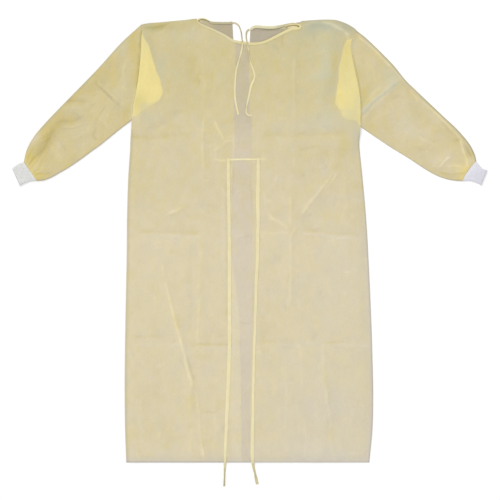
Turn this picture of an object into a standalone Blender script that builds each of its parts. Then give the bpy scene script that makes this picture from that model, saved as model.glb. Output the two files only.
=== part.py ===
"""Protective gown lying flat on its back, front side up, neck towards +Y.

Left and right are as seen from above. The floor is z = 0. Lengths are
millimetres until a mesh is made, and every mesh is in metres.
"""
import math
from collections import namedtuple

import bmesh
import bpy
import numpy as np
from mathutils import Vector
from mathutils.bvhtree import BVHTree

GARMENT = "protective_gown"
MM = 0.001

# ---------------------------------------------------------------- cloth sizes
WALL = 1.0               # cloth wall, with its loft
GAP = 0.3                # clearance between pieces that lie on each other
CUFF_WALL = 2.0          # doubled rib knit
BINDING_WIDTH = 6.3      # neck binding, each side of the edge
NECK_TIE_WIDTH = 7.5
BELT_WIDTH = 9.5

# ------------------------------------------------------------- stacking levels
BACK_TOP = WALL
FRONT_UNDER = BACK_TOP + GAP
TUCK_UNDER = BACK_TOP + GAP
TUCK_SPACE = 0.3         # air inside the tucked sleeve end
TUCK_TOP = TUCK_UNDER + 2 * WALL + TUCK_SPACE
TUCK_LIFT = TUCK_TOP + GAP - FRONT_UNDER
NECK_LIFT = WALL + GAP   # room for the binding's lower leg under the front
BACK_INSET = 2.8         # back panels end this far inside the rolled edge
HEM_INSET = 1.5

# ------------------------------------------------------------------ body sizes
Width = namedtuple("Width", "y left right")
BODY_WIDTHS = [
    Width(-576, -320, 312),
    Width(-492, -323, 318),
    Width(-414, -325, 321),
    Width(-336, -325, 320),
    Width(-206, -322, 315),
    Width(-50, -318, 309),
    Width(54, -317, 302),
    Width(158, -315, 291),
    Width(236, -311, 285),
]

# The seam of each armhole, from underarm to shoulder tip, and how far the
# sleeve's end is tucked in behind the front there.
Armhole = namedtuple("Armhole", "y seam tuck")
ARMHOLE_LEFT = [
    Armhole(314, -307, 4),
    Armhole(330, -305, 30),
    Armhole(347, -304, 46),
    Armhole(362, -302, 66),
    Armhole(387, -296, 70),
    Armhole(418, -291, 60),
    Armhole(439, -288, 47),
    Armhole(470, -285, 38),
    Armhole(496, -283, 31),
    Armhole(522, -282, 17),
    Armhole(545, -281, 6),
    Armhole(557, -283, 4),
]
ARMHOLE_RIGHT = [
    Armhole(296, 287, 3),
    Armhole(309, 287, 20),
    Armhole(322, 287, 44),
    Armhole(340, 287, 54),
    Armhole(354, 287, 66),
    Armhole(370, 286, 64),
    Armhole(392, 283, 59),
    Armhole(418, 278, 52),
    Armhole(470, 267, 34),
    Armhole(496, 262, 26),
    Armhole(515, 262, 21),
    Armhole(529, 268, 14),
    Armhole(540, 278, 6),
]

SHOULDER_LEFT = [(-283, 557), (-268, 563), (-234, 566), (-182, 571), (-138, 576)]
SHOULDER_RIGHT = [(127, 557), (143, 566), (169, 571), (208, 574), (228, 570), (250, 559), (278, 540)]
NECKLINE_FRONT = [
    (-138, 576), (-117, 563), (-94, 551), (-65, 534), (-44, 521), (-21, 513),
    (0, 510), (21, 511), (42, 516), (73, 531), (99, 544), (127, 557),
]
NECKLINE_BACK_LEFT = [(-134, 572), (-107, 570), (-76, 569), (-46, 569)]
NECKLINE_BACK_RIGHT = [(1, 552), (34, 552), (78, 557), (104, 561), (123, 554)]
NECK_STEPS = (0.0, 0.1, 0.25, 0.5, 0.75, 0.9, 1.0)   # shares along a back neckline
OPENING_LEFT = [
    (-21, -574), (-23, -414), (-26, -284), (-31, -180), (-49, -24), (-47, 106),
    (-42, 236), (-42, 366), (-44, 500), (-46, 569),
]
OPENING_RIGHT = [
    (0, -574), (0, -414), (5, -271), (8, -154), (5, -50), (5, 106),
    (5, 301), (0, 340), (-2, 470), (1, 552),
]

# ---------------------------------------------------------------- sleeve sizes
SLEEVE_LEFT_UPPER = [
    (-283, 557), (-296, 547), (-338, 512), (-390, 454), (-442, 397), (-494, 345),
    (-533, 306), (-562, 272), (-580, 239), (-588, 205),
]
SLEEVE_LEFT_LOWER = [
    (-307, 314), (-338, 291), (-390, 251), (-442, 215), (-494, 184), (-520, 166),
    (-541, 158), (-556, 155),
]
SLEEVE_RIGHT_UPPER = [
    (278, 540), (299, 525), (333, 493), (372, 454), (398, 421), (429, 392),
    (468, 356), (507, 319), (538, 288), (567, 254), (582, 228), (590, 200),
]
SLEEVE_RIGHT_LOWER = [
    (287, 296), (325, 272), (364, 249), (416, 218), (455, 192), (486, 174),
    (512, 161), (536, 155), (556, 155),
]
SLEEVE_SPACE = 0.6       # air between the two layers of a sleeve
WRIST_SPACE = 2.6        # the same where the gathers hold it open
GATHER_HEIGHT = 2.0
CUFF_HEIGHT = 5.6
RIB_HEIGHT = 0.5
CUFF_RIBS = 19           # raised ribs on each face
CUFF_SWELL = [(0.0, 0.0), (0.5, 0.4), (1.0, -0.8)]     # share of length, extra height
CUFF_LEFT_END = [(-618, 187), (-598, 142)]
CUFF_RIGHT_END = [(618, 184), (601, 143)]

# ------------------------------------------------------- folds and package creases
# A ridge has a positive height and a trough a negative one.
Fold = namedtuple("Fold", "x0 y0 x1 y1 height width")
LOOSE_LIFT = 1.2         # how far the front stands off the back between folds
FOLD_END = 25.0          # a fold dies out over this length past its ends
PACKAGE_CREASES = (-271, 15, 272)      # heights of the creases across the body
CREASE_SIDE = 16         # rows this far each side of a crease hold its shape
BODY_FOLDS = [
    Fold(-300, 271, -160, 274, -1.2, 18),
    Fold(90, 273, 250, 269, -1.2, 18),
    Fold(-290, 15, -130, 17, -1.2, 18),
    Fold(125, 16, 285, 13, -1.2, 18),
    Fold(-300, -271, -40, -269, -1.2, 20),
    Fold(-10, -270, 300, -272, -1.2, 20),
    Fold(-125, 285, -128, 200, 1.8, 15),
    Fold(-125, 0, -122, -270, 2.2, 16),
    Fold(104, 465, 106, 315, 2.0, 17),
    Fold(104, 120, 101, -150, 2.2, 16),
    Fold(247, 130, 250, 0, 1.8, 18),
    Fold(205, -270, 188, -540, 2.3, 18),
    Fold(-156, -380, -130, -550, 2.2, 18),
    Fold(-234, -63, -148, -388, 2.5, 17),
    Fold(221, 189, 135, 72, 2.4, 18),
    Fold(44, 72, 112, 20, 1.8, 17),
    Fold(-96, 313, -65, 254, 2.0, 16),
    Fold(-221, 67, -169, 93, 1.6, 16),
]
LEFT_SLEEVE_FOLDS = [
    Fold(-408, 413, -333, 340, 3.0, 13),
    Fold(-481, 345, -429, 319, 2.2, 13),
    Fold(-533, 275, -494, 301, 2.0, 13),
    Fold(-507, 262, -473, 223, 2.6, 12),
    Fold(-350, 480, -325, 400, 1.6, 16),
    Fold(-400, 300, -360, 345, 1.6, 15),
]
RIGHT_SLEEVE_FOLDS = [
    Fold(286, 327, 377, 405, 3.0, 15),
    Fold(486, 191, 525, 230, 2.6, 12),
    Fold(546, 262, 564, 197, 2.0, 12),
    Fold(398, 421, 420, 330, 2.2, 14),
    Fold(440, 250, 500, 300, 1.6, 15),
    Fold(330, 470, 300, 400, 1.4, 16),
]

# --------------------------------------------------------------- routes of the ties
NECK_TIE_LEFT_ROUTE = [
    (-45.2, 566.2), (-38, 565.6), (-30, 560), (-26, 552), (-23, 541), (-21, 528), (-19.5, 516),
    (-20, 505), (-23, 490), (-27, 474), (-32, 457), (-36, 440), (-38, 420),
    (-39, 400), (-39, 385), (-38, 368), (-36, 356), (-34, 345), (-30, 328),
]
NECK_TIE_RIGHT_ROUTE = [
    (-1.4, 549), (-5, 547.6), (-9, 543), (-10, 535), (-9.5, 526), (-7, 514), (-4, 500),
    (-2, 486), (0, 470), (4, 456), (9, 444), (12, 430), (10, 418),
    (4, 405), (0, 390), (-3, 374), (-7, 355), (-10, 340), (-9, 331), (-3, 326), (5, 326),
]
BELT_ROUTE = [(-58, 210), (-40, 211), (-20, 211), (0, 211), (12, 211), (26, 210)]
WAIST_TIE_LEFT_ROUTE = [
    (-56, 215), (-56, 190), (-55, 120), (-54, 40), (-53, -30), (-53, -130),
    (-53, -230), (-54, -300), (-56, -362), (-59, -430), (-62, -500), (-64, -545),
    (-65, -580), (-66, -610), (-67, -638),
]
WAIST_TIE_RIGHT_ROUTE = [
    (22, 215), (22, 190), (21, 120), (21, 40), (20, -30), (17, -100),
    (14, -200), (11, -290), (9, -362), (8, -430), (7, -500), (6, -545),
    (8, -580), (13, -605), (19, -633),
]


# ------------------------------------------------------------------ small tools
def smooth_step(low, high, value):
    """0 below low, 1 above high, with a soft ramp between."""
    t = np.clip((value - low) / (high - low), 0.0, 1.0)
    return t * t * (3.0 - 2.0 * t)


def smooth_path(points, per_span=12):
    """Catmull-Rom curve through 2D points, as a dense polyline."""
    pts = np.array(points, dtype=float)
    ends = np.vstack([2 * pts[0] - pts[1], pts, 2 * pts[-1] - pts[-2]])
    dense = []
    for a, b, c, d in zip(ends, ends[1:], ends[2:], ends[3:]):
        for t in np.linspace(0.0, 1.0, per_span, endpoint=False):
            dense.append(0.5 * (2 * b + (c - a) * t + (2 * a - 5 * b + 4 * c - d) * t ** 2
                                + (3 * b - a - 3 * c + d) * t ** 3))
    dense.append(pts[-1])
    return np.array(dense)


def along(path, share):
    """Points at the given shares of a polyline's length."""
    steps = np.hypot(*np.diff(path, axis=0).T)
    run = np.concatenate([[0.0], np.cumsum(steps)])
    at = np.asarray(share) * run[-1]
    return np.stack([np.interp(at, run, path[:, k]) for k in (0, 1)], axis=-1)


def path_length(path):
    return float(np.hypot(*np.diff(path, axis=0).T).sum())


def fold_relief(x, y, folds):
    """Height of all the folds at a point: soft ridges along short segments."""
    total = 0.0
    for fold in folds:
        dx, dy = fold.x1 - fold.x0, fold.y1 - fold.y0
        length = math.hypot(dx, dy)
        t = ((x - fold.x0) * dx + (y - fold.y0) * dy) / length
        across = abs((x - fold.x0) * dy - (y - fold.y0) * dx) / length
        beyond = max(0.0, -t, t - length)
        ends = math.exp(-(beyond / FOLD_END) ** 2)
        total += fold.height * ends * math.exp(-(across / fold.width) ** 2)
    return total


def material(name, colour, roughness):
    mat = bpy.data.materials.get(name)
    if mat is None:
        mat = bpy.data.materials.new(name)
        mat.use_nodes = True
        shader = mat.node_tree.nodes["Principled BSDF"]
        shader.inputs["Base Color"].default_value = (*colour, 1.0)
        shader.inputs["Roughness"].default_value = roughness
        shader.inputs["Metallic"].default_value = 0.0
    return mat


def add_object(name, verts, faces, mat):
    """One closed body from its corners (mm) and faces, turned to face outwards."""
    mesh = bpy.data.meshes.new(name)
    mesh.from_pydata([Vector(v) * MM for v in verts], [], faces)
    bm = bmesh.new()
    bm.from_mesh(mesh)
    bmesh.ops.recalc_face_normals(bm, faces=bm.faces)
    bm.to_mesh(mesh)
    bm.free()
    mesh.shade_smooth()
    mesh.set_sharp_from_angle(angle=math.radians(50))
    mesh.materials.append(mat)
    obj = bpy.data.objects.new(name, mesh)
    bpy.data.collections[GARMENT].objects.link(obj)
    return obj


def wall_between(name, outer, inner, mat, tube=False):
    """A cloth wall from two matching grids of points; a tube's rows are rings."""
    rows, cols = outer.shape[:2]
    verts = np.concatenate([outer.reshape(-1, 3), inner.reshape(-1, 3)])
    shift = rows * cols
    faces = []
    for i in range(rows - 1):
        for j in range(cols if tube else cols - 1):
            k = (j + 1) % cols
            quad = [i * cols + j, i * cols + k, (i + 1) * cols + k, (i + 1) * cols + j]
            faces.append(quad)
            faces.append([shift + v for v in reversed(quad)])
    rim = []
    for j in range(cols if tube else cols - 1):
        k = (j + 1) % cols
        rim.append((j, k))
        rim.append(((rows - 1) * cols + k, (rows - 1) * cols + j))
    if not tube:
        for i in range(rows - 1):
            rim.append(((i + 1) * cols, i * cols))
            rim.append((i * cols + cols - 1, (i + 1) * cols + cols - 1))
    for a, b in rim:
        faces.append([b, a, shift + a, shift + b])
    return add_object(name, verts.tolist(), faces, mat)


def loft_sections(name, sections, mat):
    """A closed bar through matching sections, capped at both ends."""
    rows, cols = len(sections), len(sections[0])
    verts = [p for section in sections for p in section]
    faces = [[i * cols + j, i * cols + (j + 1) % cols,
              (i + 1) * cols + (j + 1) % cols, (i + 1) * cols + j]
             for i in range(rows - 1) for j in range(cols)]
    faces.append(list(range(cols)))
    faces.append(list(range((rows - 1) * cols, rows * cols))[::-1])
    return add_object(name, verts, faces, mat)


# ------------------------------------------------------------------ body panels
def side_path(side):
    """The body's side and armhole edge from hem to shoulder tip, -1 left or +1 right."""
    armhole = ARMHOLE_LEFT if side < 0 else ARMHOLE_RIGHT
    points = [(w.left if side < 0 else w.right, w.y) for w in BODY_WIDTHS]
    return smooth_path(points + [(a.seam, a.y) for a in armhole])


SIDE_PATHS = {-1: side_path(-1), 1: side_path(1)}
SHOULDER_PATHS = {-1: smooth_path(SHOULDER_LEFT), 1: smooth_path(SHOULDER_RIGHT)}


def side_x(y, side):
    """X of the body's side or armhole edge at a height."""
    path = SIDE_PATHS[side]
    return float(np.interp(y, path[:, 1], path[:, 0]))


def tuck_depth(y, side):
    """How far the sleeve's end reaches in behind the front at a height."""
    armhole = ARMHOLE_LEFT if side < 0 else ARMHOLE_RIGHT
    return float(np.interp(y, [a.y for a in armhole], [a.tuck for a in armhole], left=0.0))


TUCK_MARGIN = 26         # the front stays lifted this far past the tucked end
TUCK_SLOPE = 49          # and comes down over this width
UNDERARM_LIFTED = 24     # below the underarm it stays lifted this far
UNDERARM_SLOPE = 46


def tuck_lift(x, y):
    """How much the front is lifted where a tucked sleeve end lies behind it."""
    lift = 0.0
    for side in (-1, 1):
        underarm = (ARMHOLE_LEFT if side < 0 else ARMHOLE_RIGHT)[0].y
        inside = side * (side_x(y, side) - x)
        reach = max(tuck_depth(y + dy, side) for dy in (-22, 0, 22))
        across = 1.0 - smooth_step(reach + TUCK_MARGIN, reach + TUCK_MARGIN + TUCK_SLOPE, inside)
        low = underarm - UNDERARM_LIFTED
        down = smooth_step(low - UNDERARM_SLOPE, low, y)
        lift = max(lift, float(across * down))
    return lift * TUCK_LIFT


NECK_FRONT_PATH = smooth_path(NECKLINE_FRONT)
TOP_SHARE_LEFT = 0.26    # share of the panel's width at the left neck point
TOP_SHARE_RIGHT = 0.73
SHOULDER_COLUMNS = 8
NECK_COLUMNS = 14


def front_top(share):
    """The front's top edge: shoulder, neckline, shoulder."""
    if share <= TOP_SHARE_LEFT:
        return along(SHOULDER_PATHS[-1], share / TOP_SHARE_LEFT)
    if share < TOP_SHARE_RIGHT:
        span = TOP_SHARE_RIGHT - TOP_SHARE_LEFT
        return along(NECK_FRONT_PATH, (share - TOP_SHARE_LEFT) / span)
    return along(SHOULDER_PATHS[1], (share - TOP_SHARE_RIGHT) / (1 - TOP_SHARE_RIGHT))


def neck_distance(x, y):
    return float(np.hypot(NECK_FRONT_PATH[:, 0] - x, NECK_FRONT_PATH[:, 1] - y).min())


EDGE_STEPS = (0.0, 0.6, 2.2, 7.0)      # distances in from a rolled edge
NECK_EDGE_STEPS = (11.5, 20.0)         # further rows below the neckline
ROLL_RADIUS = 3.0
CURVED_ROWS_FROM = 180.0               # above this the rows bend to the neckline
HEM_Y = BODY_WIDTHS[0].y
TIP_LEFT_Y = ARMHOLE_LEFT[-1].y
TIP_RIGHT_Y = ARMHOLE_RIGHT[-1].y
UNDERARM_RAMP = (40, 12)     # the side's roll fades out this far below an underarm
TIP_RAMP = (22, 50)          # the shoulder's roll starts this far from the tip
NECK_RAMP = (10, 30)         # and this far from the neck point
SIDE_FADE = (2, 26)          # folds fade out this near a side
NECK_FADE = (12, 34)         # and this near the neckline
HEM_FADE = 20                # and this near the hem


def roll(distance, weight):
    """Height share across a rolled edge, 0 at the edge where the weight is 1."""
    t = min(distance / ROLL_RADIUS, 1.0)
    return 1.0 - weight * (1.0 - math.sqrt(1.0 - (1.0 - t) ** 2))


def front_rows():
    """Heights up the left side: even steps, closer at creases and the top."""
    chest = PACKAGE_CREASES[-1] + CREASE_SIDE
    rows = set(np.linspace(HEM_Y, chest, 25).round(1))
    for crease in PACKAGE_CREASES:
        rows = {r for r in rows if abs(r - crease) > CREASE_SIDE + 1}
        rows |= {crease - CREASE_SIDE, crease, crease + CREASE_SIDE}
    rows |= set(np.linspace(chest, TIP_LEFT_Y - 1.7 * NECK_EDGE_STEPS[-1], 13).round(1))
    rows |= {TIP_LEFT_Y - d for d in (*EDGE_STEPS, *NECK_EDGE_STEPS)}
    rows |= {HEM_Y + EDGE_STEPS[-1]}
    return sorted(rows)


def front_columns(width):
    """Shares across the panel, with the neck points on columns."""
    edge = [d / width for d in EDGE_STEPS]
    shares = edge + [1 - e for e in edge]
    shares += list(np.linspace(edge[-1], TOP_SHARE_LEFT, SHOULDER_COLUMNS)[1:])
    shares += list(np.linspace(TOP_SHARE_LEFT, TOP_SHARE_RIGHT, NECK_COLUMNS)[1:])
    shares += list(np.linspace(TOP_SHARE_RIGHT, 1 - edge[-1], SHOULDER_COLUMNS)[1:-1])
    return sorted(shares)


def front_point(share, row):
    """Plan position on the front panel."""
    up = (row - HEM_Y) / (TIP_LEFT_Y - HEM_Y)
    row_right = HEM_Y + up * (TIP_RIGHT_Y - HEM_Y)
    left = np.array([side_x(row, -1), row])
    right = np.array([side_x(row_right, 1), row_right])
    tip_left = np.array([side_x(TIP_LEFT_Y, -1), TIP_LEFT_Y])
    tip_right = np.array([side_x(TIP_RIGHT_Y, 1), TIP_RIGHT_Y])
    bend = max(0.0, (row - CURVED_ROWS_FROM) / (TIP_LEFT_Y - CURVED_ROWS_FROM)) ** 1.3
    flat = left * (1 - share) + right * share
    return flat + bend * (front_top(share) - (tip_left * (1 - share) + tip_right * share))


def front_under(x, y, side_distance):
    """Height of the front's underside before its edges roll down."""
    neck = neck_distance(x, y)
    loose = LOOSE_LIFT + fold_relief(x, y, BODY_FOLDS)
    loose *= float(smooth_step(*SIDE_FADE, side_distance) * smooth_step(*NECK_FADE, neck))
    loose *= float(smooth_step(0, HEM_FADE, y - HEM_Y))
    neck_lift = NECK_LIFT * float(1 - smooth_step(*NECK_FADE, neck))
    return FRONT_UNDER + max(0.0, loose) + max(neck_lift, tuck_lift(x, y))


def make_front(mat):
    """Front panel: side and shoulder edges roll down outside the back panels."""
    rows = front_rows()
    outer = []
    inner = []
    for row in rows:
        up = (row - HEM_Y) / (TIP_LEFT_Y - HEM_Y)
        row_right = HEM_Y + up * (TIP_RIGHT_Y - HEM_Y)
        width = side_x(row_right, 1) - side_x(row, -1)
        below_left = ARMHOLE_LEFT[0].y - row
        below_right = ARMHOLE_RIGHT[0].y - row_right
        weight_left = float(smooth_step(*UNDERARM_RAMP[::-1], below_left))
        weight_right = float(smooth_step(*UNDERARM_RAMP[::-1], below_right))
        outer_row = []
        inner_row = []
        for share in front_columns(width):
            x, y = front_point(share, row)
            from_left, from_right = share * width, (1 - share) * width
            from_top = TIP_LEFT_Y - row
            end = min(from_left, from_right)
            neck = min(np.hypot(x - NECKLINE_FRONT[k][0], y - NECKLINE_FRONT[k][1]) for k in (0, -1))
            weight_top = 0.0
            if share <= TOP_SHARE_LEFT or share >= TOP_SHARE_RIGHT:
                weight_top = float(smooth_step(*TIP_RAMP, end) * smooth_step(*NECK_RAMP, neck))
            under = front_under(x, y, end)
            share_l = roll(from_left, weight_left)
            share_r = roll(from_right, weight_right)
            share_t = roll(from_top, weight_top)
            height = (under + WALL) * share_l * share_r * share_t
            drop = min(share_l, share_r, share_t)
            shift_x = WALL * ((1 - share_l) - (1 - share_r))
            shift_y = -WALL * (1 - share_t)
            outer_row.append((x, y, height))
            inner_row.append((x + shift_x, y + shift_y, max(0.0, height - WALL * drop)))
        outer.append(outer_row)
        inner.append(inner_row)
    return wall_between("front", np.array(outer), np.array(inner), mat)


def make_back(name, side, opening, neckline, mat):
    """Back panel, flat on the floor from the side seam to the open centre edge."""
    shoulder_path = SHOULDER_PATHS[side][::side * -1]
    neck = smooth_path(neckline if side < 0 else neckline[::-1])
    opening_path = smooth_path(opening)
    tip_inset = 2 * BACK_INSET
    tip_y = shoulder_path[0][1] - tip_inset
    underarm = (ARMHOLE_LEFT if side < 0 else ARMHOLE_RIGHT)[0].y
    rows = [*np.linspace(HEM_Y + HEM_INSET, underarm, 16), *np.linspace(underarm, tip_y, 13)[1:]]
    neck_share = 0.52
    shares = [*np.linspace(0, neck_share, 5)[:-1], *(neck_share + (1 - neck_share) * np.array(NECK_STEPS))]
    outer = []
    for row in rows:
        up = (row - rows[0]) / (tip_y - rows[0])
        edge = np.array([side_x(row, side) - side * BACK_INSET, row])
        tip = np.array([side_x(tip_y, side) - side * tip_inset, tip_y])
        centre = opening_path[-1]
        open_y = rows[0] + up * (centre[1] - rows[0])
        mid = np.array([np.interp(open_y, opening_path[:, 1], opening_path[:, 0]), open_y])
        bend = max(0.0, (row - CURVED_ROWS_FROM) / (tip_y - CURVED_ROWS_FROM)) ** 1.3
        line = []
        for share in shares:
            if share <= neck_share:
                top = along(shoulder_path, share / neck_share) - [0, BACK_INSET]
                if share == 0:
                    top = tip
                if share == neck_share:
                    top = neck[0]
            else:
                top = along(neck, (share - neck_share) / (1 - neck_share))
            flat = edge * (1 - share) + mid * share
            x, y = flat + bend * (top - (tip * (1 - share) + centre * share))
            line.append((x, y, BACK_TOP))
        outer.append(line)
    outer = np.array(outer)
    inner = outer * [1, 1, 0]
    return wall_between(name, outer, inner, mat)


# ----------------------------------------------------------------------- sleeves
# Share of the edge radius, share of the height, inward shift of the inner wall.
EDGE_ROUND = [(0.0, 0.0, 0.8), (0.3, 0.71, 0.62), (1.0, 1.0, 0.1)]


def flat_tube_ring(section, floor_z, heights, wall, ribs=0.0):
    """Outer and inner rings of a flattened tube.

    section is the dense plan line from one fold edge to the other, heights the
    outer heights of the middle columns over the floor side.
    """
    length = path_length(section)
    count = len(heights)
    edge_height = 0.5 * (heights[0] + heights[-1])
    radius = 0.5 * (edge_height - floor_z)
    middle = floor_z + radius
    spread = np.linspace(radius * 2.2, length - radius * 2.2, count)
    top = []
    bottom = []
    for share, rise, shift in EDGE_ROUND:
        top.append((share * radius, middle + rise * radius, shift * wall, rise * wall))
        bottom.append((share * radius, middle - rise * radius, shift * wall, -rise * wall))
    middle_top = [(e, h, 0.0, wall) for e, h in zip(spread, heights)]
    middle_bottom = [(e, floor_z + ribs * (k % 2), 0.0, -wall + ribs * (k % 2))
                     for k, e in enumerate(spread)]
    far_top = [(length - e, h, -s, w) for e, h, s, w in reversed(top)]
    far_bottom = [(length - e, h, -s, w) for e, h, s, w in reversed(bottom)]
    ring = top + middle_top + far_top
    ring += list(reversed(bottom[1:] + middle_bottom + far_bottom[:-1]))
    outer = []
    inner = []
    for e, h, shift, thickness in ring:
        x, y = along(section, e / length)
        outer.append((x, y, h))
        x, y = along(section, (e + shift) / length)
        inner.append((x, y, h - thickness))
    return outer, inner


# Sections of a sleeve: -1 to 0 is tucked in the body, 0 the armhole, 1 the cuff.
SLEEVE_STATIONS = [
    -1.0, -0.5, 0.0, 0.03, 0.09, 0.16, 0.24, 0.32, 0.4, 0.48, 0.56, 0.64,
    0.72, 0.79, 0.85, 0.9, 0.94, 0.97, 1.0,
]
SLEEVE_COLUMNS = 14
SEAM_EASE = 0.6          # extra height where a sleeve comes out from the armhole
SEAM_REACH = (0.02, 0.12)
WRIST_REACH = (0.8, 1.0)
GATHER_REACH = (0.84, 0.97)
FOLD_EDGE_FADE = 22      # folds fade out this near a sleeve's edges


def make_sleeve(name, side, upper, lower, cuff_seam, folds, mat):
    """Sleeve: a flattened tube, its inner end tucked between front and back."""
    armhole = ARMHOLE_LEFT if side < 0 else ARMHOLE_RIGHT
    seam = smooth_path([(a.seam, a.y) for a in reversed(armhole)])
    upper_path = smooth_path(upper)
    lower_path = smooth_path(lower)
    shares = np.linspace(0, 1, 60)
    seam_line = along(seam, shares)
    tucked = np.array([[-side * tuck_depth(y, side), 0.0] for x, y in seam_line])
    cuff_line = np.outer(1 - shares, cuff_seam[0]) + np.outer(shares, cuff_seam[1])
    outer = []
    inner = []
    for v in SLEEVE_STATIONS:
        if v <= 0:
            section = seam_line + tucked * -v
            floor_z, space = TUCK_UNDER, TUCK_SPACE
        else:
            top, low = along(upper_path, v), along(lower_path, v)
            u = shares[:, None]
            ruled = (1 - v) * seam_line + v * cuff_line + (1 - u) * top + u * low
            corners = ((1 - u) * (1 - v) * seam_line[0] + u * (1 - v) * seam_line[-1]
                       + (1 - u) * v * cuff_line[0] + u * v * cuff_line[-1])
            section = ruled - corners
            floor_z = 0.0
            space = SLEEVE_SPACE + (WRIST_SPACE - SLEEVE_SPACE) * float(smooth_step(*WRIST_REACH, v))
            space += SEAM_EASE * float(1 - smooth_step(*SEAM_REACH, v))
        length = path_length(section)
        heights = []
        for k, e in enumerate(np.linspace(0, length, SLEEVE_COLUMNS)):
            x, y = along(section, e / length)
            loose = 0.0
            if v > 0:
                ends = float(smooth_step(0, FOLD_EDGE_FADE, min(e, length - e)))
                reach = float(smooth_step(*SEAM_REACH, v) * (1 - 0.6 * smooth_step(*GATHER_REACH, v)))
                loose = max(0.0, fold_relief(x, y, folds)) * ends * reach
                gather = GATHER_HEIGHT * float(smooth_step(*GATHER_REACH, v))
                loose += gather * (k % 2) * (0.75 + 0.25 * math.sin(2.1 * k))
            heights.append(floor_z + 2 * WALL + space + loose)
        outer_ring, inner_ring = flat_tube_ring(section, floor_z, heights, WALL)
        outer.append(outer_ring)
        inner.append(inner_ring)
    return wall_between(name, np.array(outer), np.array(inner), mat, tube=True)


def make_cuff(name, seam, end, mat):
    """Rib-knit cuff: a flattened tube with its ribs raised on the outside."""
    seam = np.array(seam, dtype=float)
    end = np.array(end, dtype=float)
    reach = end - seam
    seam = seam + reach * (GAP / np.hypot(*reach.mean(axis=0)))
    outer = []
    inner = []
    for share, swell in CUFF_SWELL:
        line = seam + reach * share
        height = CUFF_HEIGHT + swell
        section = np.linspace(line[0], line[1], 12)
        heights = [height - RIB_HEIGHT * (k % 2) for k in range(2 * CUFF_RIBS)]
        outer_ring, inner_ring = flat_tube_ring(section, 0.0, heights, CUFF_WALL, RIB_HEIGHT)
        outer.append(outer_ring)
        inner.append(inner_ring)
    inner = np.array(inner)
    plain = CUFF_HEIGHT + min(swell for _, swell in CUFF_SWELL) - CUFF_WALL - RIB_HEIGHT
    upper = inner[:, :, 2] > CUFF_HEIGHT / 2
    inner[:, :, 2] = np.where(upper, np.minimum(inner[:, :, 2], plain), inner[:, :, 2])
    return wall_between(name, np.array(outer), inner, mat, tube=True)


# ------------------------------------------------------------- bindings and strips
def edge_directions(line):
    """Unit normals in plan, to the right of each point's direction of travel."""
    tangent = np.gradient(line, axis=0)
    tangent /= np.hypot(*tangent.T)[:, None]
    return np.stack([tangent[:, 1], -tangent[:, 0]], axis=-1)


BINDING_END = 0.12       # the front binding stops this share short of the neck points


def make_front_binding(mat):
    """Folded binding, a U in section, round the front neckline."""
    line = np.array([front_top(s) for s in np.linspace(TOP_SHARE_LEFT, TOP_SHARE_RIGHT, NECK_COLUMNS)])
    line[0] += (line[1] - line[0]) * BINDING_END
    line[-1] += (line[-2] - line[-1]) * BINDING_END
    under = FRONT_UNDER + NECK_LIFT
    over = under + WALL
    profile = [
        (BINDING_WIDTH, over + GAP), (-GAP, over + GAP), (-GAP, under - GAP),
        (BINDING_WIDTH, under - GAP), (BINDING_WIDTH, under - GAP - WALL),
        (-GAP - WALL, under - GAP - WALL), (-GAP - WALL, over + GAP + WALL),
        (BINDING_WIDTH, over + GAP + WALL),
    ]
    sections = [[(*(p + n * inside), z) for inside, z in profile]
                for p, n in zip(line, edge_directions(line))]
    return loft_sections("binding_front", sections, mat)


def make_back_binding(name, neckline, steps, mat):
    """Binding folded over a back neckline, an L in section, down to the floor."""
    line = along(smooth_path(neckline), steps)
    profile = [
        (BINDING_WIDTH, BACK_TOP + GAP), (-GAP, BACK_TOP + GAP), (-GAP, 0.0),
        (-GAP - WALL, 0.0), (-GAP - WALL, BACK_TOP + GAP + WALL),
        (BINDING_WIDTH, BACK_TOP + GAP + WALL),
    ]
    sections = [[(*(p + n * inside), z) for inside, z in profile]
                for p, n in zip(line, edge_directions(line))]
    return loft_sections(name, sections, mat)


def surface_height(trees, x, y):
    """Height of the highest piece at a place, or the floor."""
    top = 0.0
    for tree in trees:
        hit = tree.ray_cast(Vector((x * MM, y * MM, 0.1)), Vector((0, 0, -1)))[0]
        if hit is not None:
            top = max(top, hit.z / MM)
    return top


def make_strip(name, route, width, below, mat, spacing=18.0):
    """A flat tape laid on the pieces below it, following their height."""
    trees = []
    for obj in below:
        verts = [v.co for v in obj.data.vertices]
        trees.append(BVHTree.FromPolygons(verts, [list(p.vertices) for p in obj.data.polygons]))
    path = smooth_path(route)
    count = max(4, round(path_length(path) / spacing))
    line = along(path, np.linspace(0, 1, count + 1))
    half = width / 2
    reach = path_length(path) / count
    sections = []
    normals = edge_directions(line)
    for p, n in zip(line, normals):
        t = np.array([-n[1], n[0]])
        places = [p + n * a * (half + GAP) + t * b * reach
                  for a in (-1, -0.5, 0, 0.5, 1) for b in (-1, -0.66, -0.33, 0, 0.33, 0.66, 1)]
        z = GAP + max(surface_height(trees, *place) for place in places)
        a, b = p - n * half, p + n * half
        sections.append([(*a, z), (*b, z), (*b, z + WALL), (*a, z + WALL)])
    return loft_sections(name, sections, mat)


def clear_scene():
    for obj in list(bpy.data.objects):
        bpy.data.objects.remove(obj, do_unlink=True)
    collection = bpy.data.collections.new(GARMENT)
    collection.name = GARMENT
    bpy.context.scene.collection.children.link(collection)


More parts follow.
